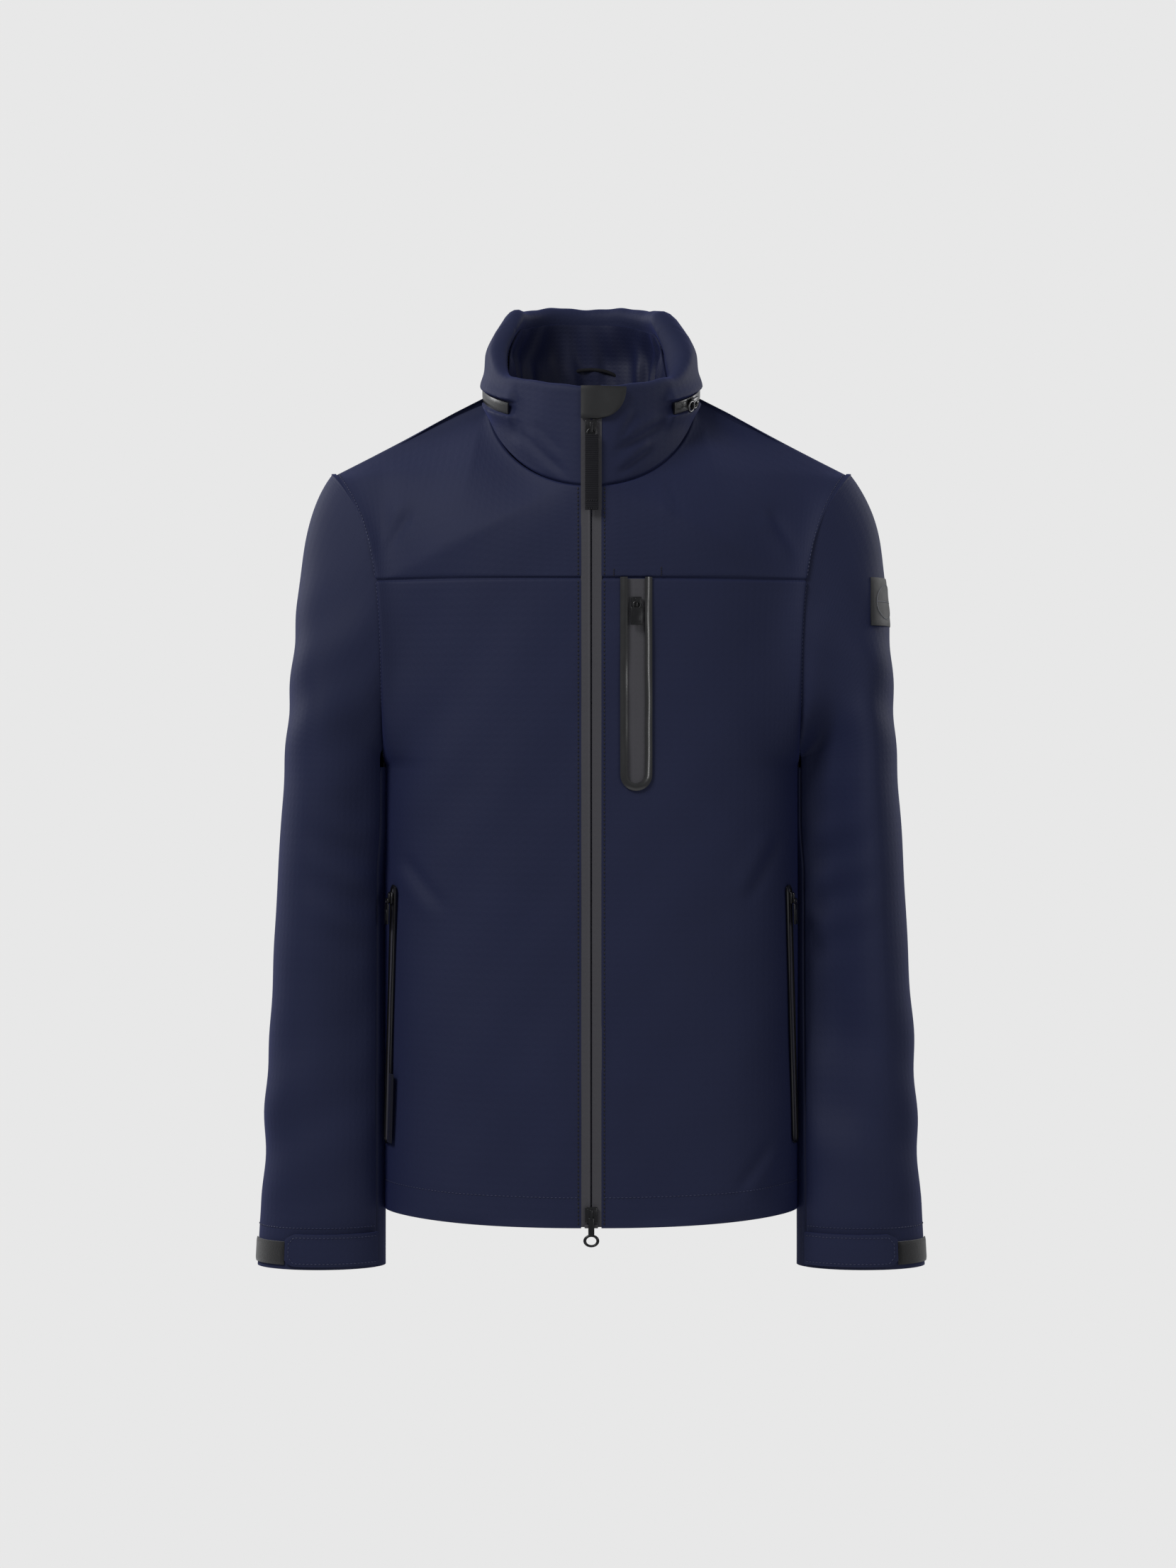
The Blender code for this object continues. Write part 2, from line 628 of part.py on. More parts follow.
def pockets():
    stand = 0.0009 + POCKET_PLATE / 2
    chest = surface_frame(CHEST_X, CHEST_TOP - CHEST_LENGTH / 2, stand)
    names = ("chest_pocket_frame", "chest_zip_tape", "chest_zip_slider", "chest_zip_pull")
    pocket_zip(names, chest, CHEST_WIDTH, 0.0150, CHEST_LENGTH, 0.0105, 0.0200, True)
    pocket_bag("chest_pocket_bag", 0.024, 0.125, CHEST_TOP - 0.004, CHEST_TOP - 0.210, False)
    for side, word in ((1, "left"), (-1, "right")):
        frame, length = line_frame(POCKET_TOP, POCKET_END, stand + 0.0010)
        if side < 0:
            flip = Matrix.Diagonal((-1.0, 1.0, 1.0, 1.0))
            frame = flip @ frame @ flip
        names = tuple(f"hand_{what}_{word}" for what in ("pocket_frame", "zip_tape", "zip_slider", "zip_pull"))
        pocket_zip(names, frame, 0.0120, 0.0065, length, 0.0070, 0.0240, False)
        pocket_bag("hand_pocket_bag_" + word, 0.045, 0.150, POCKET_TOP.z, POCKET_END.z - 0.010, side < 0)


def sleeve_skin(height, phi, stand):
    """A point stood off the sleeve's outer face."""
    step = 1e-3
    here = sleeve_ring(height, phi)
    along = sleeve_ring(height, phi + step) - sleeve_ring(height, phi - step)
    down = sleeve_ring(height - step, phi) - sleeve_ring(height + step, phi)
    return here + along.cross(down).normalized() * stand


def on_sleeve(name, phis, heights, stand, thick, columns, rows, cloth, mirrored, corner=0.0):
    """A patch laid on the sleeve, its free end rounded off by corner."""
    def point(u, v):
        pinch = corner * max(0.0, 1.0 - u / 0.12) ** 2
        z = mix(heights[0] - pinch, heights[1] + pinch, v)
        return sleeve_skin(z, math.radians(mix(phis[0], phis[1], u)), stand + thick)
    return shell(name, point, columns, rows, thick, cloth, None, mirrored)


def cuffs():
    high, low = CUFF_Z + 0.0310, CUFF_Z + 0.0030
    pad = 0.0011
    for side, word in ((1, "left"), (-1, "right")):
        other = side < 0
        over = 2 * CUFF_LAY + pad
        on_sleeve("cuff_tab_" + word, TAB_TURN, (high, low), over, CLOTH, 12, 2, NAVY, other, 0.005)
        on_sleeve("cuff_hook_" + word, (TAB_TURN[0] + 5, TAB_TURN[0] + 38), (high - 0.004, low + 0.004),
                  CUFF_LAY, pad, 5, 1, HOOKS, other)
        on_sleeve("cuff_loop_" + word, (2, TAB_TURN[0] - 2), (high - 0.007, low + 0.001),
                  CUFF_LAY, pad, 6, 1, HOOKS, other)
    on_sleeve("sleeve_patch", (10, 42), (-0.147, -0.190), CUFF_LAY, 0.0012, 5, 4, BADGE, False)


def small_trim():
    """The hanger loop inside the back neck, and the tag at the end of the right hand pocket."""
    bend = bpy.data.curves.new("hanger_loop_route", "CURVE")
    bend.dimensions = "3D"
    bend.bevel_depth = LOOP_RADIUS
    bend.bevel_resolution = 2
    bend.use_fill_caps = True
    line = bend.splines.new("POLY")
    steps = 12
    line.points.add(steps)
    back = MID_Y + NECK_DEPTH - COLLAR_WALL
    for k in range(steps + 1):
        turn = math.pi * k / steps
        x = LOOP_HALF * math.cos(turn)
        bow = math.sqrt(1 - (x / (NECK_HALF - COLLAR_WALL)) ** 2)
        y = MID_Y + (back - MID_Y) * bow - LOOP_RADIUS - LOOP_STAND - LOOP_BULGE * math.sin(turn)
        line.points[k].co = (x, y, LOOP_Z + LOOP_RISE * math.sin(turn), 1.0)
    bend.materials.append(WEBBING)
    jacket.objects.link(bpy.data.objects.new("hanger_loop", bend))
    frame, length = line_frame(POCKET_TOP, POCKET_END, 0.0)
    flip = Matrix.Diagonal((-1.0, 1.0, 1.0, 1.0))
    place = flip @ frame @ flip @ Matrix.Translation((0.0086, -0.0016, -length / 2 + 0.032))
    box_at("pocket_tag", (0.0040, 0.0012, 0.060), place, WEBBING)


def hang():
    """Puts the world's origin under the arch of the hanger loop, where a hook holds the jacket."""
    bow_y = NECK_DEPTH - COLLAR_WALL - LOOP_RADIUS - LOOP_STAND - LOOP_BULGE
    datum = bpy.data.objects.new("hanging_point", None)
    datum.location = (0.0, -(MID_Y + bow_y), -(LOOP_Z + LOOP_RISE - LOOP_RADIUS))
    jacket.objects.link(datum)
    for piece in jacket.objects:
        if piece is not datum:
            piece.parent = datum


front_panels()
back_panels()
sleeves()
collar()
collar_zip()
main_zip()
pockets()
cuffs()
small_trim()
hang()
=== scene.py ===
"""Looks of the foul weather jacket: cloth, stitching, zips, film, hardware, light and camera."""

import math

import bpy
import numpy as np
from mathutils import Matrix, Vector


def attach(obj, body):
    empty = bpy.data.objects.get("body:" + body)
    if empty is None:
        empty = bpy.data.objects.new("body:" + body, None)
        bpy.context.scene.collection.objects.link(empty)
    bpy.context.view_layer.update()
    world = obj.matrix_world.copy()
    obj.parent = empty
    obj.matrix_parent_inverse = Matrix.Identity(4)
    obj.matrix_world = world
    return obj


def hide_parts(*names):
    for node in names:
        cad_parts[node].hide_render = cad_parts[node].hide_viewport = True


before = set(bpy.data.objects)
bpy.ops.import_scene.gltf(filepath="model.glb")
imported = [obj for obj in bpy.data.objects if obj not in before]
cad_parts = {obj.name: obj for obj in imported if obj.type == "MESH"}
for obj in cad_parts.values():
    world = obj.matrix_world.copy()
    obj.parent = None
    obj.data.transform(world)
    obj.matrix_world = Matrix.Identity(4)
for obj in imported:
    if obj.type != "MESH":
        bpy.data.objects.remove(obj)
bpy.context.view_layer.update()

JACKET = "jacket"
DATUM = np.array([0.0, -0.0529, -0.0294])   # from the pattern's own zero to the hanger loop

# The pattern's sizes, as in the part
SIDE_HALF = 0.1805
SHOULDER_HALF = 0.2275
SHOULDER_Z = -0.069
ARMPIT_Z = -0.320
HEM_Z = -0.715
HEM_BAND = 0.028
FRONT_DEPTH = 0.100
BACK_DEPTH = 0.108
MID_Y = -0.012
ARM_DEPTH = 0.064
YOKE_Z = -0.1635
BACK_YOKE_Z = -0.165
NECK_HALF = 0.0913
NECK_DEPTH = 0.0864
FRONT_NECK_Z = -0.0855
BACK_NECK_Z = 0.012
COLLAR_FRONT_TOP = -0.0010
COLLAR_SIDE_TOP = 0.0130
COLLAR_BACK_TOP = 0.0860
COLLAR_LEAN = 0.15
COLLAR_WALL = 0.012
SLEEVE_GAP = -0.0040          # here the sleeve is sewn against the side of the body
CUFF_Z = -0.757
CUFF_DEPTH = 0.045
ZIP_EDGE = 0.0086
RING_Z = 0.0035
RING_TILT = math.atan(0.335)
RING_BAND = 0.0100
RING_END = math.radians(49)

CLOTH = 0.0020
LINING = 0.0012
SEAM = 0.0019                 # how deep the cloth is drawn in at a seam
SEAM_HALF = 0.0014
NO_SEAM = (0.0, 0.0, 0.0, 0.0)
HEM_LIFT = 0.0075             # the hem rises this much from the zip to the side seam
SIDES = (("left", False), ("right", True))      # the right side is the left one mirrored


# ---------------------------------------------------------------- materials

def linear(code):
    """sRGB hex to linear colour."""
    values = (int(code[k:k + 2], 16) / 255 for k in (1, 3, 5))
    return tuple(v / 12.92 if v <= 0.04045 else ((v + 0.055) / 1.055) ** 2.4 for v in values) + (1.0,)


def add(tree, kind, settings=None, links=None):
    """Adds a node, sets its properties and sockets, and links sockets to other nodes' outputs."""
    made = tree.nodes.new(kind)
    for key, value in (settings or {}).items():
        if isinstance(key, str) and hasattr(made, key):
            setattr(made, key, value)
        else:
            made.inputs[key].default_value = value
    for key, source in (links or {}).items():
        tree.links.new(source, made.inputs[key])
    return made


def surface(name, colour, roughness, **more):
    """A Principled material with constants on its own sockets. Returns it, its tree and shader."""
    made = bpy.data.materials.new(name)
    made.use_nodes = True
    shader = made.node_tree.nodes["Principled BSDF"]
    shader.inputs["Base Color"].default_value = linear(colour)
    shader.inputs["Roughness"].default_value = roughness
    for key, value in more.items():
        shader.inputs[key.replace("_", " ")].default_value = value
    return made, made.node_tree, shader


def tone_and_relief(tree, shader, colours, tone, height, strength, depth):
    """Mixes two colours by one node output, and raises the surface by another."""
    shade = add(tree, "ShaderNodeMix", {"data_type": "RGBA"}, {0: tone})
    shade.inputs[6].default_value, shade.inputs[7].default_value = map(linear, colours)
    tree.links.new(shade.outputs[2], shader.inputs["Base Color"])
    bump = add(tree, "ShaderNodeBump", {"Strength": strength, "Distance": depth}, {"Height": height})
    tree.links.new(bump.outputs[0], shader.inputs["Normal"])


def woven(name, colour, second, roughness, thread_mm, depth, sheen, mottled=0.35):
    """Woven cloth on its own UV map in metres: two crossed thread waves, with soft mottling."""
    made, tree, shader = surface(name, colour, roughness, Sheen_Weight=sheen, Sheen_Roughness=0.45,
                                 Specular_IOR_Level=0.25)
    shader.inputs["Sheen Tint"].default_value = linear("#4d5abc")
    uv = add(tree, "ShaderNodeTexCoord").outputs["UV"]
    scale = 1000.0 / thread_mm / (2 * math.pi) * 0.314
    waves = [add(tree, "ShaderNodeTexWave",
                 {"bands_direction": way, "Scale": scale, "Distortion": 0.4, "Detail": 1.0},
                 {"Vector": uv}).outputs["Fac"] for way in ("X", "Y")]
    crossed = add(tree, "ShaderNodeMath", {"operation": "MULTIPLY"}, {0: waves[0], 1: waves[1]})
    place = add(tree, "ShaderNodeTexCoord").outputs["Object"]
    cloud = add(tree, "ShaderNodeTexNoise", {"Scale": 14.0, "Detail": 4.0, "Roughness": 0.6},
                {"Vector": place})
    grain = add(tree, "ShaderNodeTexNoise", {"Scale": 900.0, "Detail": 2.0}, {"Vector": place})
    tone = add(tree, "ShaderNodeMath", {"operation": "MULTIPLY_ADD", 1: mottled, 2: 0.15},
               {0: cloud.outputs["Fac"]})
    tone = add(tree, "ShaderNodeMath", {"operation": "MULTIPLY_ADD", 1: 0.30},
               {0: grain.outputs["Fac"], 2: tone.outputs[0]})
    relief = add(tree, "ShaderNodeMath", {"operation": "ADD"},
                 {0: crossed.outputs[0], 1: grain.outputs["Fac"]})
    tone_and_relief(tree, shader, (colour, second), tone.outputs[0], relief.outputs[0], 0.35, depth)
    return made


def pebbled(name, colour, second, roughness, grain_mm, depth, **more):
    """A moulded, coated or enamelled surface: fine grain in its relief and a little in its tone."""
    made, tree, shader = surface(name, colour, roughness, **more)
    place = add(tree, "ShaderNodeTexCoord").outputs["Object"]
    grain = add(tree, "ShaderNodeTexNoise", {"Scale": 1000.0 / grain_mm, "Detail": 3.0},
                {"Vector": place})
    wear = add(tree, "ShaderNodeTexNoise", {"Scale": 90.0, "Detail": 5.0}, {"Vector": place})
    rough = add(tree, "ShaderNodeMath", {"operation": "MULTIPLY_ADD", 1: 0.18, 2: roughness - 0.09},
                {0: wear.outputs["Fac"]})
    tree.links.new(rough.outputs[0], shader.inputs["Roughness"])
    tone_and_relief(tree, shader, (colour, second), wear.outputs["Fac"], grain.outputs["Fac"], 0.3, depth)
    return made


# Three-layer polyester softshell: a close plain weave with a dry, soft sheen. Its real thread is
# 0.3 mm; drawn at 1.1 mm so that it shows.
SHELL = woven("softshell_polyester", "#181d35", "#1f2545", 0.70, 1.1, 0.00022, 0.20)
# Plain-weave lining inside the collar: thinner than the shell, and a little glossier on its folds.
TRICOT = woven("lining_taffeta", "#161a31", "#1d2240", 0.60, 0.9, 0.0002, 0.15)
# Polyester webbing: coarse ribs.
WEB = woven("polyester_webbing", "#0d0d10", "#1a1a1e", 0.80, 1.6, 0.0005, 0.15)
# Polyurethane laminated zip tape: an even charcoal rubbery film over a fine weave.
LAMINATE = woven("laminated_zip_tape", "#403f43", "#4c4b4f", 0.50, 0.9, 0.0002, 0.10)
# Topstitching: polyester sewing thread, slightly shiny.
THREAD = pebbled("sewing_thread", "#1a1e38", "#2b3155", 0.50, 0.4, 0.0001)
# Heat-welded polyurethane film: glossy, slightly orange-peeled.
FILM = pebbled("welded_film", "#060607", "#0c0c0e", 0.34, 2.2, 0.0002, Coat_Weight=0.8,
               Coat_Roughness=0.22)
# Die-cast zinc with black enamel: smooth, with soft wear.
ENAMEL = pebbled("enamelled_zinc", "#0c0c0e", "#1f1f22", 0.32, 1.2, 0.0001, Metallic=0.55,
                 Coat_Weight=0.4, Coat_Roughness=0.15)
# Nylon hook and loop: matt fuzz.
FUZZ = pebbled("nylon_hook_and_loop", "#08080a", "#161619", 0.95, 0.8, 0.0012, Sheen_Weight=0.4)
# Moulded rubber badge.
RUBBER = pebbled("moulded_rubber", "#121316", "#1c1d20", 0.62, 0.5, 0.0001)
# Silver-grey print on the badge.
PRINT = pebbled("grey_print", "#6c6e74", "#85878d", 0.55, 0.6, 0.0001)
# The darker thread beside the zip, on the webbing and in the bartacks: a dark thread, darkened further as
# painted shade in its stitch holes.
THREAD_WITH_PAINTED_SHADE = pebbled("dark_thread_with_painted_shade", "#07070c", "#12101b", 0.55, 0.4, 0.0001)
# Coated tape folded over the top of the zip.
COATED = pebbled("coated_tape", "#0d0e10", "#141517", 0.55, 0.7, 0.0001)
# Pale matt floor.
FLOOR = pebbled("pale_floor", "#d9d9d9", "#dcdcdc", 0.9, 5.0, 0.0001)

# The usual finish of each slot
FINISHES = {
    "shell_cloth": SHELL, "lining_cloth": TRICOT, "laminated_tape": LAMINATE, "gloss_film": FILM,
    "black_metal": ENAMEL, "webbing": WEB, "hook_and_loop": FUZZ, "badge_rubber": RUBBER,
}


# ---------------------------------------------------------------- pattern surfaces

def mix(a, b, t):
    return a + (b - a) * t


def smooth(t):
    t = np.clip(t, 0.0, 1.0)
    return t * t * (3.0 - 2.0 * t)


def bell(t, centre, width):
    return np.exp(-((t - centre) / width) ** 2)


def edge_x(z):
    rise = np.clip((z - ARMPIT_Z) / (SHOULDER_Z - ARMPIT_Z), 0.0, 1.0)
    arm = mix(SIDE_HALF, SHOULDER_HALF, rise ** 5)
    slope = mix(SHOULDER_HALF, NECK_HALF, (z - SHOULDER_Z) / -SHOULDER_Z)
    return np.where(z > SHOULDER_Z, slope, arm)


def edge_depth(z):
    rise = np.clip((z - ARMPIT_Z) / (SHOULDER_Z - ARMPIT_Z), 0.0, 1.0)
    return ARM_DEPTH * np.sqrt(np.clip(1.0 - (2.0 * rise - 1.0) ** 2, 0.0, 1.0))


def ridge_z(x):
    return SHOULDER_Z * (np.abs(x) - NECK_HALF) / (SHOULDER_HALF - NECK_HALF)


def body_point(x, z, back):
    full = BACK_DEPTH - 0.012 * bell(z, -0.46, 0.12) if back else FRONT_DEPTH
    side = edge_depth(z)
    fall = np.sqrt(np.clip((ridge_z(x) - z) / 0.12, 0.0, 1.0))
    across = np.clip(1.0 - np.clip(np.abs(x) / edge_x(z), 0.0, 1.0) ** 2.5, 0.0, 1.0) ** 0.46
    outer = np.clip(np.abs(x) / edge_x(z), 0.0, 1.0) ** 7
    depth = full * fall * across + side * (1 - across) * outer
    return np.stack([x, MID_Y + depth if back else MID_Y - depth, z], -1)


def yoke_point(u, v, inner_x, low, back):
    split = 0.45
    bottom_x = mix(inner_x, edge_x(np.full_like(u, low)), np.sin(u * np.pi / 2))
    turn = mix(math.asin(inner_x / NECK_HALF), np.pi / 2, np.clip(u / split, 0.0, 1.0))
    shoulder = mix(NECK_HALF, SHOULDER_HALF, np.clip((u - split) / (1 - split), 0.0, 1.0))
    at_neck = u < split
    top_x = np.where(at_neck, NECK_HALF * np.sin(turn), shoulder)
    bow = np.sqrt(np.clip(1.0 - (top_x / NECK_HALF) ** 2, 0.0, 1.0))
    top_z = np.where(at_neck, (BACK_NECK_Z if back else FRONT_NECK_Z) * bow, ridge_z(shoulder))
    z = mix(low, top_z, v)
    x = mix(bottom_x, top_x, v)
    end_z = mix(low, SHOULDER_Z, v)
    straight = mix(edge_x(np.array(low)), SHOULDER_HALF, v)
    x = x + (edge_x(end_z) - straight) * u ** 6
    here = body_point(x, z, back)
    collar_y = np.where(at_neck, NECK_DEPTH * bow, 0.0)
    if not back:
        collar_y = collar_y + (FRONT_DEPTH - NECK_DEPTH) * (collar_y / NECK_DEPTH) ** 8
    target = MID_Y + collar_y if back else MID_Y - collar_y
    # only the neck is drawn to the collar's seam; the side keeps to the armhole
    here[..., 1] = mix(here[..., 1], target, v ** 4 * smooth((1.0 - u) / 0.45))
    return here


def sleeve_silhouette(z):
    drop = np.clip(SHOULDER_Z - z, 0.0, None)
    return SHOULDER_HALF + 0.020 * (1 - np.exp(-drop / 0.03)) + 0.042 * (drop / 0.687) ** 0.85


def sleeve_ring(height, phi, sunk=0.0):
    gone = np.clip((SHOULDER_Z - height) / (SHOULDER_Z - ARMPIT_Z), 0.0, 1.0)
    outer_x = sleeve_silhouette(height) + mix(-0.0004, 0.0015, smooth(gone * 4))
    inner_z = np.minimum(height, ARMPIT_Z + 0.002 * gone)
    q = 0.5 + 0.5 * np.cos(phi)
    hollow = mix(SIDE_HALF, SHOULDER_HALF, q) - edge_x(mix(ARMPIT_Z, SHOULDER_Z, q))
    near = mix(SLEEVE_GAP, -0.0012, smooth((-0.37 - height) / 0.05))
    x = mix(SIDE_HALF + near, outer_x, q) - hollow * (1 - smooth(gone * 1.5))
    z = mix(inner_z, height, q)
    below = np.clip((ARMPIT_Z - height) / (ARMPIT_Z - CUFF_Z), 0.0, 1.0)
    depth = mix(ARM_DEPTH, ARM_DEPTH + 0.006, smooth(gone)) - (ARM_DEPTH + 0.006 - CUFF_DEPTH) * below
    # the hanging sleeve is pressed a little flat between the armhole and the cuff
    flat = 0.24 * smooth(gone * 1.5) * (1 - smooth((CUFF_Z + 0.14 - height) / 0.09))
    bow = np.sign(np.sin(phi)) * np.abs(np.sin(phi)) ** (1.0 - flat)
    # and its inner side can hang back behind the body's edge
    mid = smooth(gone * 1.4 - 0.2) * (1 - smooth((CUFF_Z + 0.24 - height) / 0.20))
    bow = bow * (1 - sunk * mid * smooth(1.25 - 1.6 * q) * (np.sin(phi) > 0))
    return np.stack([x, MID_Y - depth * bow - 0.006 * below, z], -1)


def collar_point(turn, z, inset):
    lean = 1.0 - COLLAR_LEAN * smooth((z - 0.034) / 0.045)
    nose = (FRONT_DEPTH - NECK_DEPTH) * np.clip(np.cos(turn), 0.0, 1.0) ** 8
    return np.stack([(NECK_HALF * lean - inset) * np.sin(turn),
                     MID_Y - (NECK_DEPTH * lean - inset) * np.cos(turn) - nose, z], -1)


def collar_top(turn):
    turn = np.minimum(np.abs(turn), 2 * np.pi - np.abs(turn))
    first = smooth(turn / math.radians(60))
    rise = (0.90 * smooth((turn - math.radians(50)) / math.radians(58))
            + 0.10 * smooth((turn - math.radians(100)) / math.radians(60)))
    return mix(mix(COLLAR_FRONT_TOP, COLLAR_SIDE_TOP, first), COLLAR_BACK_TOP, rise)


def collar_base(turn):
    bow = np.cos(turn)
    return np.where(bow > 0, FRONT_NECK_Z * bow, -BACK_NECK_Z * bow)


# ---------------------------------------------------------------- cloth pieces

def folds(p):
    """How far the cloth stands out or in, in metres, by its place on the jacket."""
    x, y, z = p[..., 0], p[..., 1], p[..., 2]
    front = smooth((MID_Y - y) / 0.05)
    out = np.zeros_like(x)
    # the whole shell: long soft hollows
    out += 0.0011 * np.sin(31 * x + 9 * z + 2.0 * np.sin(11 * z)) * np.sin(13 * z + 17 * y + 1.0)
    out += 0.0005 * np.sin(83 * x - 37 * z + 3 * np.sin(23 * y)) * np.sin(29 * z + 1.7)
    body = smooth((0.186 - np.abs(x)) / 0.004)
    # drag lines from the armhole down and in across the chest
    for sign, phase in ((1, 0.0), (-1, 0.9)):
        along = sign * x * 0.62 + (z + 0.30) * 0.78
        across = sign * x * 0.78 - (z + 0.30) * 0.62
        reach = bell(sign * x, 0.15, 0.045) * bell(z, -0.315, 0.07)
        out += front * body * reach * 0.0012 * np.sin(along * 95 + phase + 12 * across)
    # the lower body falls in shallow upright waves towards the hem
    low = smooth((-0.46 - z) / 0.22)
    waves = np.sin(x * 52 + 0.6 + 1.5 * np.sin(z * 8)) * smooth((np.abs(x) - 0.01) / 0.03)
    out += body * low * 0.0020 * waves
    # sleeves: creases at the inner elbow, wider folds above the cuff
    arm = 1.0 - body
    inside = smooth((0.262 - np.abs(x)) / 0.06)
    out += arm * inside * 0.0020 * bell(z, -0.425, 0.06) * np.sin(z * 150 - 60 * np.abs(x) + 1.2)
    out += arm * 0.0013 * bell(z, -0.63, 0.09) * np.sin(z * 85 + 40 * np.abs(x) + 25 * y)
    out += arm * 0.0012 * bell(z, -0.25, 0.07) * np.sin(z * 100 + 55 * np.abs(x) + 20 * y)
    # creases in the collar and beside it, where it is pulled together by the zip
    for x0, z0, x1, z1, wide, deep in CREASES:
        run = np.array([x1 - x0, z1 - z0])
        t = ((x - x0) * run[0] + (z - z0) * run[1]) / (run @ run)
        side = ((x - x0) * run[1] - (z - z0) * run[0]) / np.sqrt(run @ run)
        inside = smooth(t / 0.25) * smooth((1 - t) / 0.35)
        out += front * inside * deep * (bell(side, 1.3 * wide, wide) - 1.3 * bell(side, 0.0, wide * 0.6))
    # the stitched cuff lies flat
    out *= mix(1.0, smooth((z - CUFF_Z - 0.034) / 0.03), arm)
    # calm beside the side seam, where sleeve and body lie against each other
    return out * smooth(np.abs(np.abs(x) - SIDE_HALF) / 0.022 + 0.1)


# Creases as straight runs over the front: x and z of both ends, width and depth
CREASES = (
    (-0.066, -0.032, -0.016, -0.082, 0.0055, 0.0017),
    (-0.050, -0.028, -0.020, -0.062, 0.0060, 0.0008),
    (0.068, -0.026, 0.016, -0.060, 0.0060, 0.0019),
    (0.056, -0.048, 0.020, -0.078, 0.0045, 0.0016),
    (0.040, -0.020, 0.022, -0.050, 0.0050, 0.0011),
    (0.060, -0.078, 0.078, -0.110, 0.0060, 0.0011),
    (-0.150, -0.098, -0.186, -0.150, 0.0080, 0.0016),
    (0.150, -0.098, 0.186, -0.150, 0.0080, 0.0016),
    (-0.166, -0.398, -0.120, -0.452, 0.0090, 0.0016),
    (0.166, -0.380, 0.130, -0.445, 0.0090, 0.0014),
    (0.120, -0.690, 0.160, -0.640, 0.0080, 0.0014),
)


def make_skin(shape, width, height, edges, mirrored, quiet):
    """Points and normals of the finished outer face, as a function of u and v.

    edges says how deep the cloth is drawn in at its seams: left, right, low, high, in metres.
    """
    def flat(u, v):
        if not mirrored:
            return shape(u, v)
        here = shape(1 - u, v)
        here[..., 0] = -here[..., 0]
        return here

    def skin(u, v):
        step = 2e-3
        here = flat(u, v)
        gaps = (u * width, (1 - u) * width, v * height, (1 - v) * height)
        along = flat(np.clip(u + step, 0, 1), v) - flat(np.clip(u - step, 0, 1), v)
        up = flat(u, np.clip(v + step, 0, 1)) - flat(u, np.clip(v - step, 0, 1))
        normal = np.cross(along, up)
        normal /= np.linalg.norm(normal, axis=-1, keepdims=True) + 1e-12
        out = folds(here) * quiet
        for depth, gap in zip(edges, gaps):
            out = out * smooth(gap / 0.010 + 0.25) - depth * np.exp(-(gap / SEAM_HALF) ** 2)
        return here + normal * out[..., None] + DATUM, normal
    return skin


def places(count, size):
    """Evenly spaced places from 0 to 1, with more of them beside a seam at either end."""
    even = np.linspace(0, 1, count + 1)
    if size < 0.03:       # too narrow for them
        return even
    near = np.array([0.0006, 0.0012, 0.0018, 0.0026]) / size
    even = even[(even == 0) | (even == 1) | ((even > 1.4 * near[-1]) & (even < 1 - 1.4 * near[-1]))]
    return np.sort(np.concatenate([even, near, 1 - near]))


def hand_over(made, body, nodes=()):
    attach(made, body)
    if nodes:
        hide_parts(*nodes)


def show(name, mesh, material, body, nodes=()):
    """Makes an object of the mesh with its material, hands it to its body, and hides the CAD nodes it
    replaces.
    """
    mesh.materials.append(material)
    made = bpy.data.objects.new(name, mesh)
    bpy.context.scene.collection.objects.link(made)
    hand_over(made, body, nodes)
    return made


def cloth(name, shape, width, height, edges, nodes, material=None, mirrored=False, thick=CLOTH,
          cell=0.0042, quiet=1.0, slot="shell_cloth", body=JACKET, cells=None):
    """A closed cloth shell with its own UV map in metres. Returns the piece and its skin."""
    skin = make_skin(shape, width, height, edges, mirrored, quiet)
    if cells:
        across, up = (np.linspace(0, 1, count + 1) for count in cells)
    else:
        across, up = (places(round(size / cell), size) for size in (width, height))
    u, v = np.meshgrid(across, up)
    rows, columns = u.shape[0] - 1, u.shape[1] - 1
    outer, normal = skin(u, v)
    points = np.concatenate([outer.reshape(-1, 3), (outer - normal * thick).reshape(-1, 3)])
    wide, count = columns + 1, u.size
    j, i = np.meshgrid(np.arange(rows), np.arange(columns), indexing="ij")
    k = (j * wide + i).ravel()
    first = np.arange(columns)
    last = rows * wide + first
    low = np.arange(rows) * wide
    high = low + wide
    # outer face, inner face, then the rim along the low, high, left and right edges
    faces = np.concatenate([
        np.stack([k, k + 1, k + wide + 1, k + wide], 1),
        np.stack([k, k + wide, k + wide + 1, k + 1], 1) + count,
        np.stack([first, first + count, first + 1 + count, first + 1], 1),
        np.stack([last, last + 1, last + 1 + count, last + count], 1),
        np.stack([low, high, high + count, low + count], 1),
        np.stack([low, low + count, high + count, high], 1) + columns,
    ])
    mesh = bpy.data.meshes.new(name)
    mesh.from_pydata(points.tolist(), [], faces.tolist())
    spread = np.stack([u.ravel() * width, v.ravel() * height], 1)
    spread = np.concatenate([spread, spread])
    layer = mesh.uv_layers.new(name="cloth")
    corners = np.empty(len(mesh.loops), np.int32)
    mesh.loops.foreach_get("vertex_index", corners)
    layer.data.foreach_set("uv", spread[corners].ravel().astype(np.float32))
    mesh.shade_smooth()
    mesh.set_sharp_from_angle(angle=math.radians(50))
    return show(name, mesh, material or FINISHES[slot], body, nodes), skin


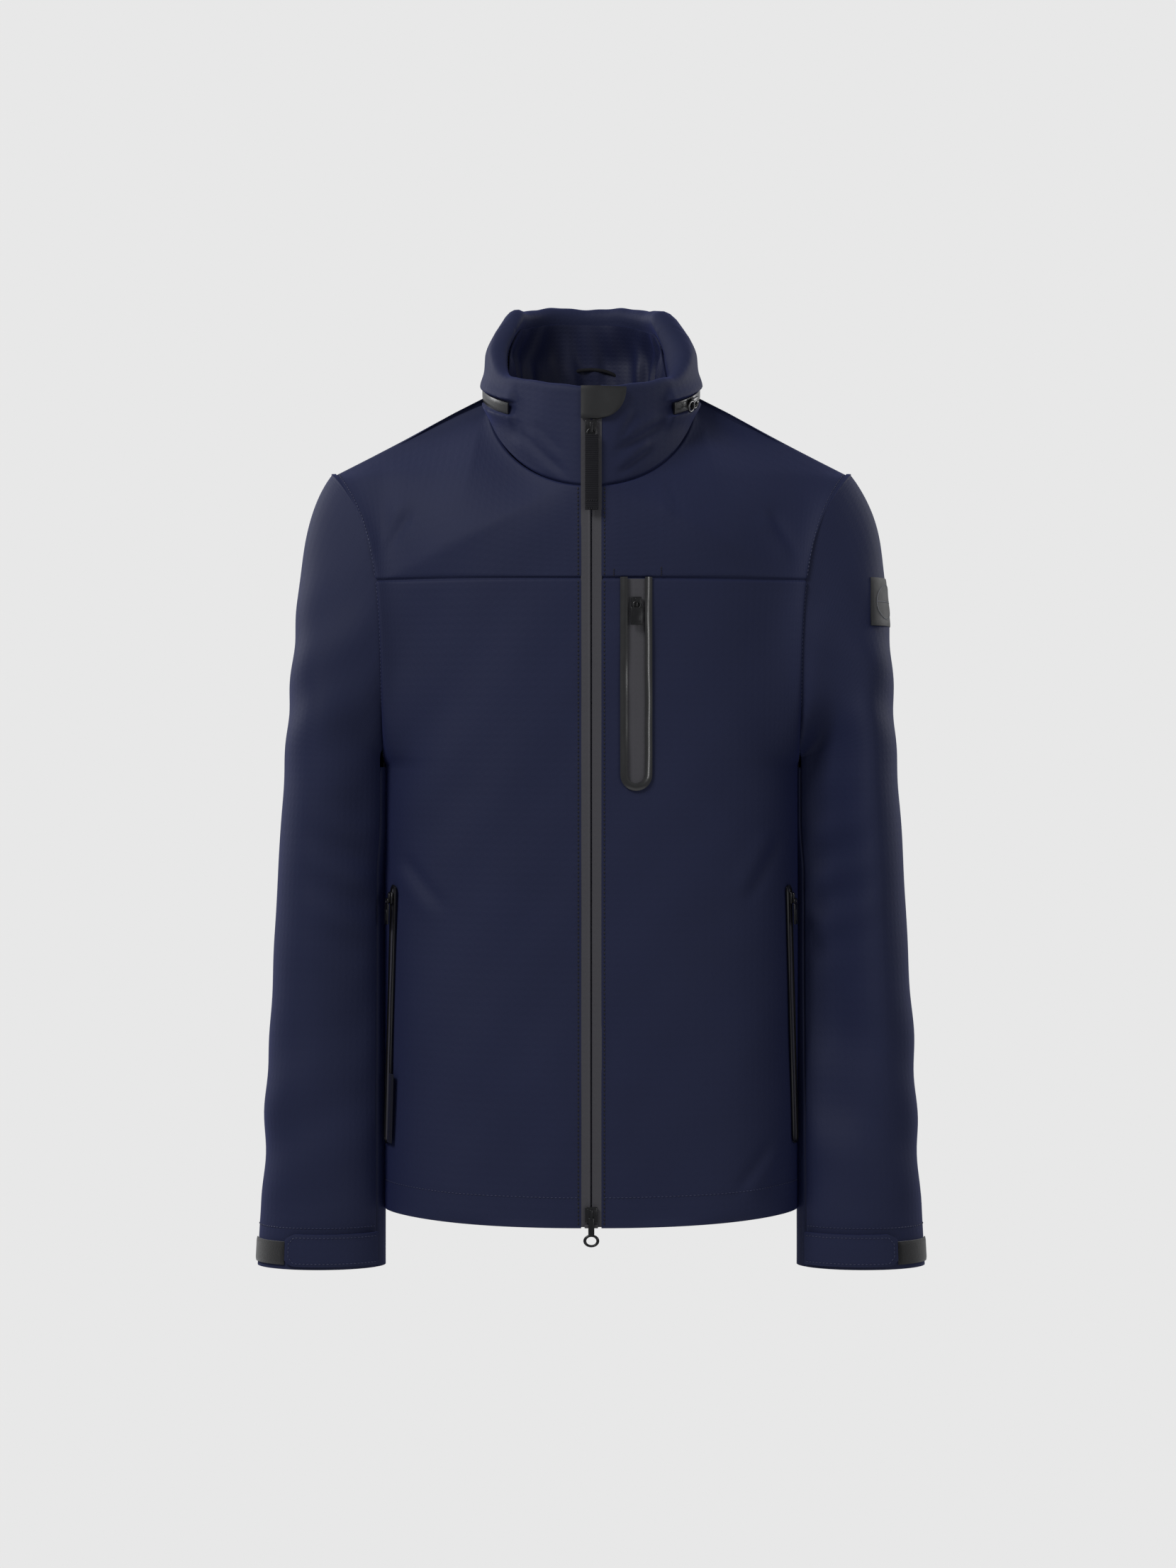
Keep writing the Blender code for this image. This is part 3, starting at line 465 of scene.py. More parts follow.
def stitch_row(name, skin, path, body=JACKET, gap=0.0034, lift=0.0001, material=THREAD):
    """Separate thread stitches along a path of (u, v) on a skin, each a short bellied grain."""
    u, v = (np.array(axis, float) for axis in zip(*path))
    t = np.linspace(0, 1, 400)
    knots = np.linspace(0, 1, len(u))
    points, normals = skin(np.interp(t, knots, u), np.interp(t, knots, v))
    steps = np.linalg.norm(np.diff(points, axis=0), axis=1)
    run = np.concatenate([[0.0], np.cumsum(steps)])
    count = max(1, int(run[-1] / gap))

    def along_path(s, rows):
        return np.stack([np.interp(s, run, rows[:, k]) for k in range(3)], -1)

    verts, faces = [], []
    # the darker thread is drawn fatter, to take in the painted shade of its stitch holes
    half, fat = gap * 0.36, 0.00062 if material is THREAD_WITH_PAINTED_SHADE else 0.00050
    sides = 5
    turns = 2 * np.pi * np.arange(sides)[:, None] / sides
    for centre in (np.arange(count) + 0.5) * run[-1] / count:
        middle, normal = along_path(centre, points), along_path(centre, normals)
        along = along_path(centre + half, points) - along_path(centre - half, points)
        along /= np.linalg.norm(along) + 1e-12
        circle = np.cos(turns) * np.cross(along, normal) + np.sin(turns) * normal
        base = len(verts)
        for place, width in ((-1.0, 0.35), (-0.45, 1.0), (0.45, 1.0), (1.0, 0.35)):
            spot = middle + along * half * place + normal * lift
            verts += (spot + fat * width * circle).tolist()
        for row in range(3):
            for k in range(sides):
                a, b = base + row * sides + k, base + row * sides + (k + 1) % sides
                faces.append((a, a + sides, b + sides, b))
        faces.append(tuple(base + k for k in range(sides)))
        faces.append(tuple(base + 3 * sides + k for k in reversed(range(sides))))
    mesh = bpy.data.meshes.new(name)
    mesh.from_pydata(verts, [], faces)
    mesh.shade_smooth()
    show(name, mesh, material, body)


def line(u0, v0, u1, v1, count=12):
    return [(mix(u0, u1, k / count), mix(v0, v1, k / count)) for k in range(count + 1)]


def body_shape(low, high, inner_x, back):
    def shape(u, v):
        across = np.sin((0.5 - u) * np.pi) if back else np.sin(u * np.pi / 2)
        z = mix(low + HEM_LIFT * np.abs(across) ** 2.2, high, v)
        x = edge_x(z) * across if back else mix(inner_x, edge_x(z), across)
        return body_point(x, z, back)
    return shape


def fronts():
    """The front panels below the yoke seam and the yokes above it, with their topstitching."""
    wide, yoke_wide, tall = 0.215, 0.235, YOKE_Z - HEM_Z
    near, hem = 0.0019 / wide, HEM_BAND / tall * 0.92
    for word, other in SIDES:
        ends = (SEAM, 0.0) if other else (0.0, SEAM)
        piece, skin = cloth("front_cloth_" + word, body_shape(HEM_Z, YOKE_Z, ZIP_EDGE, False), wide, tall,
                            (*ends, 0.0, SEAM), ("front_panel_" + word, "hem_front_" + word),
                            mirrored=other)

        def edge(t, other=other):
            return 1 - t if other else t
        stitch_row("zip_topstitch_" + word, skin, line(edge(near), 0.004, edge(near), 0.996),
                   material=THREAD_WITH_PAINTED_SHADE)
        stitch_row("hem_topstitch_" + word, skin, line(edge(near), hem, edge(0.97), hem))
        stitch_row("side_topstitch_" + word, skin, line(edge(0.985), 0.004, edge(0.985), 0.996))
        yoke, upper = cloth("yoke_cloth_" + word,
                            lambda u, v: yoke_point(u, v, ZIP_EDGE, YOKE_Z, False), yoke_wide, 0.125,
                            (*ends, SEAM, SEAM), ("front_yoke_" + word,), mirrored=other)
        stitch_row("yoke_zip_topstitch_" + word, upper, line(edge(near), 0.02, edge(near), 0.98),
                   material=THREAD_WITH_PAINTED_SHADE)
        if not other:
            for name, x in (("inner", 0.0190), ("outer", 0.0590)):
                u = 2 / math.pi * math.asin((x - ZIP_EDGE) / 0.175)
                stitch_row("pocket_bartack_" + name, upper, line(u, 0.012, u, 0.095), gap=0.0016,
                           material=THREAD_WITH_PAINTED_SHADE)
        stitch_row("armhole_topstitch_" + word, upper, line(edge(0.978), 0.03, edge(0.978), 0.97))


def backs():
    """The back panel and the back yoke."""
    tall = BACK_YOKE_Z - HEM_Z
    piece, skin = cloth("back_cloth", body_shape(HEM_Z, BACK_YOKE_Z, 0.0, True), 0.46, tall,
                        (SEAM, SEAM, 0.0, SEAM), ("back_panel", "hem_back"))
    hem = HEM_BAND / tall * 0.92
    stitch_row("hem_topstitch_back", skin, line(0.02, hem, 0.98, hem, 40))

    def shape(u, v):
        here = yoke_point(np.abs(2 * u - 1), v, 0.0, BACK_YOKE_Z, True)
        here[..., 0] = np.where(u > 0.5, -here[..., 0], here[..., 0])
        return here
    yoke, upper = cloth("back_yoke_cloth", shape, 0.50, 0.16, (SEAM,) * 4, ("back_yoke",))
    for name, u in (("left", 0.02), ("right", 0.98)):
        stitch_row("back_armhole_topstitch_" + name, upper, line(u, 0.03, u, 0.97))


def sleeves():
    """Each sleeve in two panels; the left one hangs back further behind the body's edge."""
    seam_turn = math.radians(152)
    for word, other in SIDES:
        sunk = 0.15 if other else 0.62

        def upper(u, v, sunk=sunk):
            height = mix(SHOULDER_Z + 0.0016, CUFF_Z, v ** 1.5)
            return sleeve_ring(height, mix(-seam_turn, seam_turn, u), sunk)

        def under(u, v, sunk=sunk):
            height = mix(ARMPIT_Z - 0.004, CUFF_Z, v)
            return sleeve_ring(height, mix(seam_turn, 2 * math.pi - seam_turn, u), sunk)
        piece, skin = cloth("sleeve_cloth_" + word, upper, 0.32, 0.66, (SEAM, SEAM, SEAM, 0.0),
                            ("sleeve_" + word, "cuff_band_" + word), mirrored=other)
        gusset, _ = cloth("sleeve_gusset_" + word, under, 0.05, 0.43, (SEAM, SEAM, 0.0, 0.0),
                          ("sleeve_under_" + word,), mirrored=other)
        stitch_row("cuff_topstitch_" + word, skin, line(0.01, 0.965, 0.99, 0.965, 40))


def padding(turn):
    """How thick the collar is over the rolled hood inside it; a little fuller on the wearer's left."""
    front = np.clip(np.cos(turn), 0.0, 1.0)
    back = np.clip(-np.cos(turn), 0.0, 1.0)
    thick = 0.0235 + 0.0045 * np.sin(turn) - 0.0085 * back ** 1.5
    return mix(thick, 0.0085, smooth(front / 0.80))


def collar_roll(start, end, turned=0.13):
    """The collar's face, over its rim and a little way down inside."""
    def shape(u, v):
        turn = mix(start, end, u)
        thick = padding(turn)
        top, base = collar_top(turn), collar_base(turn)
        # the rim waves a little
        top = (top - 0.0010 * smooth((0.95 - np.cos(turn)) / 0.2) + 0.0007 * np.sin(7 * turn + 1.0)
               + 0.0003 * np.sin(19 * turn))
        face = 1.0 - 2 * turned
        rise = np.clip(v / face, 0.0, 1.0)
        over = np.pi * np.clip((v - face) / turned, 0.0, 1.0)
        down = np.clip((v - face - turned) / turned, 0.0, 1.0)
        half = thick / 2
        z = mix(base, top - half, rise) + half * np.sin(over) - 0.011 * down
        inset = half * (1 - np.cos(over))
        # the padding pushes the face out between the neck seam and the rim
        plump = 0.0022 * np.sin(np.pi * rise) * smooth((0.85 - np.cos(turn)) / 0.5)
        # the zip lies sunk between two lips of cloth
        off = np.abs(z - (RING_Z - math.tan(RING_TILT) * NECK_DEPTH * np.cos(turn)))
        sunk = smooth((math.cos(RING_END) + 0.06 - np.cos(turn)) / 0.05) * (over <= 0)
        plump = plump + sunk * (0.0045 * smooth((off - 0.0052) / 0.002) * bell(off, 0.006, 0.009)
                                - 0.0012 * bell(off, 0.0, 0.004))
        return collar_point(turn, z, inset - plump)
    return shape


def collar_inside(start, end):
    """The collar's lining: it hangs in deep loose folds round the rolled hood."""
    def shape(u, v):
        turn = mix(start, end, u)
        top = collar_top(turn) - padding(turn) / 2 - 0.0085
        z = mix(collar_base(turn) + 0.001, top, v)
        side = smooth((0.80 - np.cos(turn)) / 0.5)
        wave = (np.sin(10 * turn + 2.2 * np.sin(3 * turn) + 2 * v)
                + 0.45 * np.sin(19 * turn - 4 * v + 0.7))
        loose = 0.0040 * side * np.sin(np.pi * np.clip(1.04 - v, 0, 1) * 0.62) * wave
        inset = padding(turn) + 0.0006 + 0.0030 * side * (1 - v) + np.abs(loose) * 0.3 + loose * 0.7
        return collar_point(turn, z, inset)
    return shape


def collar():
    """The collar in three padded panels, their topstitching, and the lining inside."""
    front = math.asin(ZIP_EDGE / NECK_HALF)
    side = math.pi / 2
    pieces = (("collar_cloth_left", front, side, 0.125, 0.130, ("collar_front_left",), (0.0, 0.0004)),
              ("collar_cloth_right", -side, -front, 0.125, 0.130, ("collar_front_right",), (0.0004, 0.0)),
              ("collar_cloth_back", side, 2 * math.pi - side, 0.250, 0.118, ("collar_back", "stowed_hood"),
               (0.0004, 0.0004)))
    for name, start, end, width, height, nodes, ends in pieces:
        piece, skin = cloth(name, collar_roll(start, end), width, height, (*ends, SEAM, 0.0), nodes,
                            quiet=0.8, cell=0.0020)
        stitch_row(name + "_topstitch", skin, line(0.012, 0.985, 0.988, 0.985, 40))
    lining, _ = cloth("collar_lining_cloth", collar_inside(front, 2 * math.pi - front), 0.47, 0.085,
                      NO_SEAM, ("collar_lining",), quiet=0.0, cell=0.0028, thick=LINING,
                      slot="lining_cloth")


fronts()
backs()
sleeves()
collar()


# ---------------------------------------------------------------- zips, pockets and trim

FRONT_Y = MID_Y - FRONT_DEPTH
TO_WORLD = Matrix.Translation(Vector(DATUM))
FLIP = Matrix.Diagonal((-1.0, 1.0, 1.0, 1.0))


def shift(x, y, z):
    return Matrix.Translation((x, y, z))


def place_piece(name, body, slot, nodes, matrix):
    """Names the active object, sets its mesh down in the world, and hands it to its body."""
    made = bpy.context.object
    made.name = made.data.name = name
    made.data.transform(TO_WORLD @ matrix @ made.matrix_world)
    made.matrix_world = Matrix()
    made.data.materials.clear()
    made.data.materials.append(FINISHES[slot])
    hand_over(made, body, nodes)


def block(name, size, round_by, matrix, middle=(0.0, 0.0, 0.0), body=JACKET, nodes=(), slot="black_metal"):
    """A box with rounded edges, made at a frame whose -Y points out."""
    bpy.ops.object.select_all(action="DESELECT")
    bpy.ops.mesh.primitive_cube_add(size=1.0, location=middle)
    bpy.context.object.scale = size
    bpy.ops.object.transform_apply(location=False, rotation=False, scale=True)
    bpy.ops.object.mode_set(mode="EDIT")
    bpy.ops.mesh.select_all(action="SELECT")
    bpy.ops.mesh.bevel(offset=round_by, segments=3, affect="EDGES")
    bpy.ops.object.mode_set(mode="OBJECT")
    bpy.ops.object.shade_smooth_by_angle(angle=math.radians(35))
    place_piece(name, body, slot, nodes, matrix)


def ring(name, major, minor, middle, matrix, body, squeeze=(1.0, 1.0, 1.0), nodes=()):
    """A round wire ring in the frame's XZ plane."""
    bpy.ops.object.select_all(action="DESELECT")
    bpy.ops.mesh.primitive_torus_add(major_radius=major, minor_radius=minor, major_segments=40,
                                     minor_segments=12, location=middle,
                                     rotation=(math.radians(90), 0, 0))
    bpy.context.object.scale = squeeze
    bpy.ops.object.transform_apply(location=False, rotation=True, scale=True)
    bpy.ops.object.shade_smooth()
    place_piece(name, body, "black_metal", nodes, matrix)


def strip(name, shape, size, nodes, slot, thick, cells=None, edges=NO_SEAM, **more):
    """A tape, film, patch or lining with no folds of its own. size is its width and height."""
    return cloth(name, shape, *size, edges, nodes, slot=slot, thick=thick, cells=cells, quiet=0.0, **more)


def straight(name, matrix, size, nodes, slot, thick, cells=None, bulge=None, **more):
    """A strip in a frame: u across, v up, bulge(u, v) metres proud of the frame."""
    turn = np.array(matrix)

    def shape(u, v):
        out = -bulge(u, v) if bulge else 0.0 * u
        here = np.stack([(u - 0.5) * size[0], out, (v - 0.5) * size[1], np.ones_like(u)], -1)
        return (here @ turn.T)[..., :3]
    return strip(name, shape, size, nodes, slot, thick, cells, **more)


def ribs(pitch, depth, height):
    """Cross ribs of a webbing strip."""
    def bulge(u, v):
        rib = np.abs(np.sin(np.pi * v * height / pitch)) - 0.5
        return depth * rib + 0.0004 * np.sin(np.pi * u) ** 0.5
    return bulge


def slider_body(name, matrix, body, node):
    """A cast slider: a body, a shoulder on it and a bridge for the pull."""
    width, length = 0.0105, 0.0135
    block(name, (width, 0.0022, length), 0.0008, matrix, (0, -0.0016, 0), body, (node,))
    block(name + "_shoulder", (width * 0.72, 0.0010, length * 0.62), 0.0004, matrix,
          (0, -0.0028, 0.0008), body)
    block(name + "_bridge", (0.0026, 0.0022, length * 0.70), 0.0008, matrix, (0, -0.0044, 0.0002), body)


def main_zip():
    """Reverse coil zip under a laminated tape, with two sliders."""
    top, low = COLLAR_FRONT_TOP - 0.001, HEM_Z + 0.001
    for word, other in SIDES:
        def lip(u, v, other=other):
            inner = 1 - u if other else u
            return 0.0005 * np.exp(-((inner - 0.10) / 0.09) ** 2) - 0.0007 * np.exp(-(inner / 0.03) ** 2)
        middle = -0.00465 if other else 0.00465
        straight("zip_tape_" + word, shift(middle, FRONT_Y + 0.0002, (top + low) / 2), (0.0084, top - low),
                 ("main_zip_tape_" + word,), "laminated_tape", 0.0013, (14, 160), lip)
    slider_body("main_slider_body", shift(0.0, SLIDER_Y, -0.0370), "main_slider", "main_zip_slider")
    slider_body("lower_slider_body", shift(0.0, SLIDER_Y, HEM_Z + 0.0115), "lower_slider",
                "lower_zip_slider")


def main_pull():
    """A wire link and a ribbed webbing pull, folded back and stitched at its end."""
    hinge = shift(0.0, PULL_Y, -0.0380)
    width, length, fold, rib, deep = 0.0112, 0.0640, 0.0090, 0.0016, 0.0003
    ring("main_pull_link", 0.0036, 0.0007, (0, 0, -0.0034), hinge, "main_pull", (1.0, 1.0, 0.9))
    webbing, _ = straight("main_pull_webbing", hinge @ shift(0.0004, -0.0004, -0.0365), (width, length),
                          ("main_zip_pull",), "webbing", 0.0016, (10, 200), ribs(rib, deep, length),
                          body="main_pull")
    end, skin = straight("main_pull_fold", hinge @ shift(0.0004, -0.0015, -0.0642), (width + 0.0002, fold),
                         (), "webbing", 0.0012, (10, 30), ribs(rib, deep, fold), body="main_pull",
                         edges=(0.0002,) * 4)
    for row in (0.12, 0.88):
        stitch_row(f"main_pull_bartack_{row}", skin, line(0.08, row, 0.92, row), "main_pull", 0.0018,
                   0.0004, THREAD_WITH_PAINTED_SHADE)


def zip_ends():
    """The lower ring pull, the pin box, the cover over the zip's top and the wind flap behind it."""
    hinge = shift(0.0, PULL_Y, HEM_Z + 0.0105)
    block("lower_pull_tongue", (0.0052, 0.0018, 0.0150), 0.0008, hinge, (0, 0, -0.0085), "lower_ring")
    ring("lower_pull_ring", 0.0055, 0.0013, (0, 0, -0.0206), hinge, "lower_ring", (1.0, 0.8, 1.0),
         ("lower_zip_ring",))
    block("pin_box", (0.0115, 0.0024, 0.0030), 0.0005, shift(0.0, FRONT_Y - 0.0017, HEM_Z + 0.0018),
          nodes=("zip_pin_box",), slot="laminated_tape")

    def garage(u, v):
        z = mix(-0.0286, COLLAR_FRONT_TOP, v)
        bow = 0.20 + 0.80 * np.sqrt(np.clip(1.0 - (1 - v) ** 2.2, 0.0, 1.0))
        x = mix(-0.0085, 0.0290 * bow, u)
        return collar_point(np.arcsin(x / NECK_HALF), z, -0.0036)
    cover, _ = strip("zip_garage_cover", garage, (0.034, 0.028), ("zip_garage",), "laminated_tape", 0.0015,
                     (24, 20), (0.0004, 0.0006, 0.0006, 0.0004), material=COATED)
    flap_high, flap_low = FRONT_NECK_Z - 0.034, HEM_Z + 0.006
    flap, _ = straight("wind_flap", shift(0.0, FRONT_Y + 0.0050, (flap_high + flap_low) / 2),
                       (0.036, flap_high - flap_low), ("storm_flap",), "lining_cloth", 0.0014)


def front_point(x, z):
    return Vector(body_point(np.array(x), np.array(z), False))


def surface_frame(x, z, stand):
    """A frame on the front of the body: its -Y points out, its Z runs up."""
    out = (front_point(x + 0.004, z) - front_point(x - 0.004, z)).normalized()
    normal = Vector((out.y, -out.x, 0.0))
    made = Matrix((out, -normal, Vector((0.0, 0.0, 1.0)))).transposed().to_4x4()
    made.translation = front_point(x, z) + normal * stand
    return made


def line_frame(top, end, stand):
    """A frame whose Z runs from a low point of the body up to a high one, at their middle."""
    high, low = front_point(*top), front_point(*end)
    across = surface_frame((top[0] + end[0]) / 2, (top[1] + end[1]) / 2, 0.0)
    up = (high - low).normalized()
    normal = -across.col[1].to_3d()
    normal = (normal - up * normal.dot(up)).normalized()
    made = Matrix((up.cross(normal), -normal, up)).transposed().to_4x4()
    made.translation = (high + low) / 2 + normal * stand
    return made, (high - low).length


def welt(matrix, film, mouth, length, square_top, height):
    """The welded film round a pocket mouth. Returns its face and its run."""
    turn = np.array(matrix)
    inner, outer = mouth / 2, film / 2
    side = length - outer + 0.0030 if square_top else length - 2 * outer
    run = np.pi * outer
    total = 2 * side + run * (1 if square_top else 2)
    low = -length / 2 + outer

    def shape(u, v):
        s = u * total
        reach = mix(inner, outer, v)
        angle = np.clip((s - side) / outer, 0.0, np.pi)
        down = np.clip(s, 0.0, side)
        up = np.clip(s - side - run, 0.0, side)
        x = -reach * np.cos(angle)
        z = low + side - down + up - reach * np.sin(angle)
        if not square_top:
            over = np.clip((s - 2 * side - run) / outer, 0.0, np.pi)
            x = np.where(over > 0, reach * np.cos(over), x)
            z = np.where(over > 0, low + side + reach * np.sin(over), z)
        # proud at the mouth, thin at the cloth, and a little uneven along its run
        uneven = 1 + 0.30 * np.sin(s * 38 + 1) + 0.12 * np.sin(s * 131)
        proud = 0.0007 + height * ((1 - v) * uneven + 0.25 * np.sin(np.pi * v))
        return (np.stack([x, -proud, z, np.ones_like(x)], -1) @ turn.T)[..., :3]
    return shape, total


def pocket_zip(word, nodes, bodies, matrix, film, mouth, length, pull, square_top):
    """Film, tape, slider and pull of a pocket. film and mouth are widths, pull is a width and a length."""
    frame_node, tape_node, slider_node, pull_node = nodes
    slider, pull_on = bodies
    wide, long = pull
    shape, run = welt(matrix, film, mouth, length, square_top, 0.0015 if square_top else 0.0006)
    strip(word + "_film", lambda u, v: shape(1 - u, v), (run, (film - mouth) / 2), (frame_node,),
          "gloss_film", 0.0012, (int(run / 0.003), 8), (0.0, 0.0, 0.0003, 0.0005))

    def coil(u, v):
        rows = (0.0004 * np.exp(-((u - middle) / 0.08) ** 2) for middle in (0.42, 0.58))
        return sum(rows) - 0.0002
    straight(word + "_tape", matrix @ shift(0.0, 0.0, 0.0035 if square_top else 0.0),
             (mouth + 0.001, length - 0.004), (tape_node,), "laminated_tape", 0.0010, (16, 80), coil)
    here = matrix @ shift(0.0, 0.0, (length - film * 0.50 - mouth * 0.8) / 2 - 0.0060)
    block(word + "_slider_body", (wide * 0.85, 0.0024, 0.0100), 0.0007, here, (0, -0.0022, 0), slider,
          (slider_node,))
    block(word + "_slider_bridge", (0.0022, 0.0018, 0.0080), 0.0006, here, (0, -0.0040, 0), slider)
    block(word + "_pull_tab", (wide, 0.0018, long * 0.76), 0.0008, here,
          (0, -0.0056, 0.0010 - long * 0.62), pull_on, (pull_node,))
    ring(word + "_pull_eye", wide * 0.30, 0.0007, (0, -0.0056, 0.0010 - long * 0.16), here, pull_on)
    block(word + "_pull_grip", (wide * 0.62, 0.0008, long * 0.40), 0.0003, here,
          (0, -0.0066, 0.0010 - long * 0.66), pull_on)


def pockets():
    parts = ("pocket_frame", "zip_tape", "zip_slider", "zip_pull")
    pocket_zip("chest_pocket", ["chest_" + what for what in parts], ("chest_slider", "chest_pull"),
               CHEST, 0.0277, 0.0150, CHEST_LONG, (0.0105, 0.0200), True)
    left, length = line_frame(POCKET_TOP, POCKET_END, 0.0019)
    right = FLIP @ left @ FLIP
    for word, matrix in (("left", left), ("right", right)):
        nodes = [f"hand_{what}_{word}" for what in parts]
        pocket_zip("hand_pocket_" + word, nodes, ("hand_slider_" + word, "hand_pull_" + word), matrix,
                   0.0120, 0.0065, length, (0.0070, 0.0240), False)
    bags = [("chest_pocket_bag", 0.024, 0.125, -0.170, -0.376, False)]
    bags += [("hand_pocket_bag_" + word, 0.045, 0.150, -0.425, -0.660, other) for word, other in SIDES]
    for node, near, far, high, low, other in bags:
        def shape(u, v, near=near, far=far, high=high, low=low):
            here = body_point(mix(near, far, u), mix(low, high, v), False)
            here[..., 1] += 0.0050
            return here
        bag, _ = strip(node + "_cloth", shape, (far - near, high - low), (node,), "lining_cloth", 0.0014,
                       (24, 48), mirrored=other)
    tag, _ = straight("woven_tag", right @ shift(0.0086, -0.0012, -length / 2 + 0.032), (0.0104, 0.0600),
                      ("pocket_tag",), "webbing", 0.0008, (8, 80), ribs(0.002, 0.0001, 0.06))


def level_height(z, phi):
    """The sleeve's height that puts its ring at z on this turn."""
    q = 0.5 + 0.5 * np.cos(phi)
    return (z - (1 - q) * (ARMPIT_Z + 0.002)) / q


def upright_turn(z, x):
    """The turn at which the sleeve's level row at z lies x from the middle."""
    near, far = np.full_like(z, 0.1), np.full_like(z, 1.5)
    for _ in range(18):
        middle = (near + far) / 2
        past = sleeve_ring(level_height(z, middle), middle)[..., 0] > x
        near, far = np.where(past, middle, near), np.where(past, far, middle)
    return near


def sleeve_skin(stand, turns, heights, corner=0.0, upright=0.0):
    """A patch's face on the sleeve, its far end rounded off by corner.

    With upright, the near edge is plumb at that distance from the middle, and the rows are level.
    """
    def shape(u, v):
        step = 1e-3
        pinch = corner * np.clip((u - 0.88) / 0.12, 0.0, 1.0) ** 2
        z = mix(heights[1] + pinch, heights[0] - pinch, v)
        phi = np.radians(mix(turns[0], turns[1], u))
        if upright:
            first = upright_turn(z, upright)
            phi = mix(first, first - np.radians(turns[0] - turns[1]), u)
            z = level_height(z, phi)
        along = sleeve_ring(z, phi + step) - sleeve_ring(z, phi - step)
        down = sleeve_ring(z - step, phi) - sleeve_ring(z + step, phi)
        out = np.cross(along, down)
        out /= np.linalg.norm(out, axis=-1, keepdims=True)
        return sleeve_ring(z, phi) + out * stand
    return shape


def cuffs():
    """Cuff straps with hook and loop."""
    high, low = CUFF_Z + 0.0310, CUFF_Z + 0.0030
    soft_edges = (0.0004,) * 4
    for word, other in SIDES:
        strap = "tab_" + word
        # part, turns in degrees, heights, stand-off, thickness, slot, body, size, rounded corner
        for part, turns, heights, stand, thick, slot, body, size, corner in (
                ("tab", (148, 60), (high, low), 0.0045, 0.0020, "shell_cloth", strap,
                 (0.094, 0.028), 0.005),
                ("hook", (98, 65), (high - 0.004, low + 0.004), 0.0021, 0.0011, "hook_and_loop", strap,
                 (0.036, 0.020), 0.0),
                ("loop", (58, 2), (high - 0.007, low + 0.001), 0.0020, 0.0012, "hook_and_loop", JACKET,
                 (0.050, 0.020), 0.0)):
            piece, skin = strip(f"cuff_{part}_cloth_{word}", sleeve_skin(stand, turns, heights, corner),
                                size, (f"cuff_{part}_{word}",), slot, thick, (int(size[0] / 0.0014), 18),
                                soft_edges, mirrored=other, body=body)
            if part == "tab":
                tab_skin = skin
        border = [(0.03, 0.10), (0.90, 0.10), (0.955, 0.26), (0.955, 0.74), (0.90, 0.90), (0.03, 0.90)]
        border = [(1 - u, v) for u, v in border] if other else border
        path = [spot for a, b in zip(border, border[1:]) for spot in line(*a, *b, 8)]
        stitch_row("cuff_tab_stitching_" + word, tab_skin, path, strap)


def badge():
    """A moulded badge on the left sleeve, with a plain ring and bar on it."""
    base, skin = strip("badge", sleeve_skin(0.0020, (42, 0), (-0.160, -0.202), upright=0.2405),
                       (0.044, 0.043), ("sleeve_patch",), "badge_rubber", 0.0014, (30, 30),
                       (0.0003,) * 4)
    mark = [(0.5 + 0.36 * math.cos(t), 0.5 + 0.36 * math.sin(t)) for t in np.linspace(0, 2 * math.pi, 60)]
    for name, path in (("ring", mark), ("bar", line(0.15, 0.50, 0.85, 0.50))):
        stitch_row("badge_" + name, skin, path, JACKET, 0.0012, 0.0001, PRINT)


def neck_trim():
    """The collar's zip tape, its slider and pull, and the loop the jacket hangs by."""
    tilt = shift(0.0, MID_Y, RING_Z) @ Matrix.Rotation(RING_TILT, 4, "X")
    turned = np.array(tilt)
    radius = NECK_HALF + 0.0005 + math.sin(RING_TILT) * RING_BAND / 2 + 0.0018

    def band(u, v):
        turn = mix(RING_END, 2 * math.pi - RING_END, u)
        here = np.stack([radius * np.sin(turn), -radius * np.cos(turn), (v - 0.5) * RING_BAND,
                         np.ones_like(u)], -1)
        return (here @ turned.T)[..., :3]
    tape, _ = strip("collar_tape", band, (0.435, RING_BAND), ("collar_zip_tape",), "gloss_film", 0.0016,
                    (140, 8), (0.0, 0.0, 0.0003, 0.0003))
    face = radius + 0.0005
    turn = RING_END + (0.6 * 0.0150 + 0.020) / (face - 0.0023)
    here = tilt @ Matrix.Rotation(turn, 4, "Z") @ shift(0.0, -face, 0.0)
    block("collar_slider_body", (0.0130, 0.0024, 0.0092), 0.0008, here, (0, -0.0018, 0), "collar_slider",
          ("collar_zip_slider",))
    block("collar_slider_bridge", (0.0080, 0.0018, 0.0024), 0.0006, here, (0, -0.0034, 0), "collar_slider")
    ring("collar_pull_link", 0.0030, 0.0008, (-0.0070, -0.0049, 0), here, "collar_pull", (1.3, 1.0, 0.9))
    ring("collar_pull_ring", 0.0042, 0.0009, (-0.0160, -0.0049, 0), here, "collar_pull", (1.5, 1.0, 0.8),
         ("collar_zip_pull",))

    def loop(u, v):
        turn, swell, half = np.pi * u, 2 * np.pi * v, 0.0016
        x = 0.026 * np.cos(turn)
        bow = np.sqrt(1 - (x / (NECK_HALF - COLLAR_WALL)) ** 2)
        y = MID_Y + (NECK_DEPTH - COLLAR_WALL) * bow - 0.0035 - 0.0070 * np.sin(turn)
        return np.stack([x + half * np.cos(turn) * np.cos(swell), y - 0.0010 * np.sin(swell),
                         0.019 + 0.012 * np.sin(turn) + half * np.sin(turn) * np.cos(swell)], -1)
    strip("hanger_tape", loop, (0.061, 0.0082), ("hanger_loop",), "webbing", 0.0004, (60, 14))


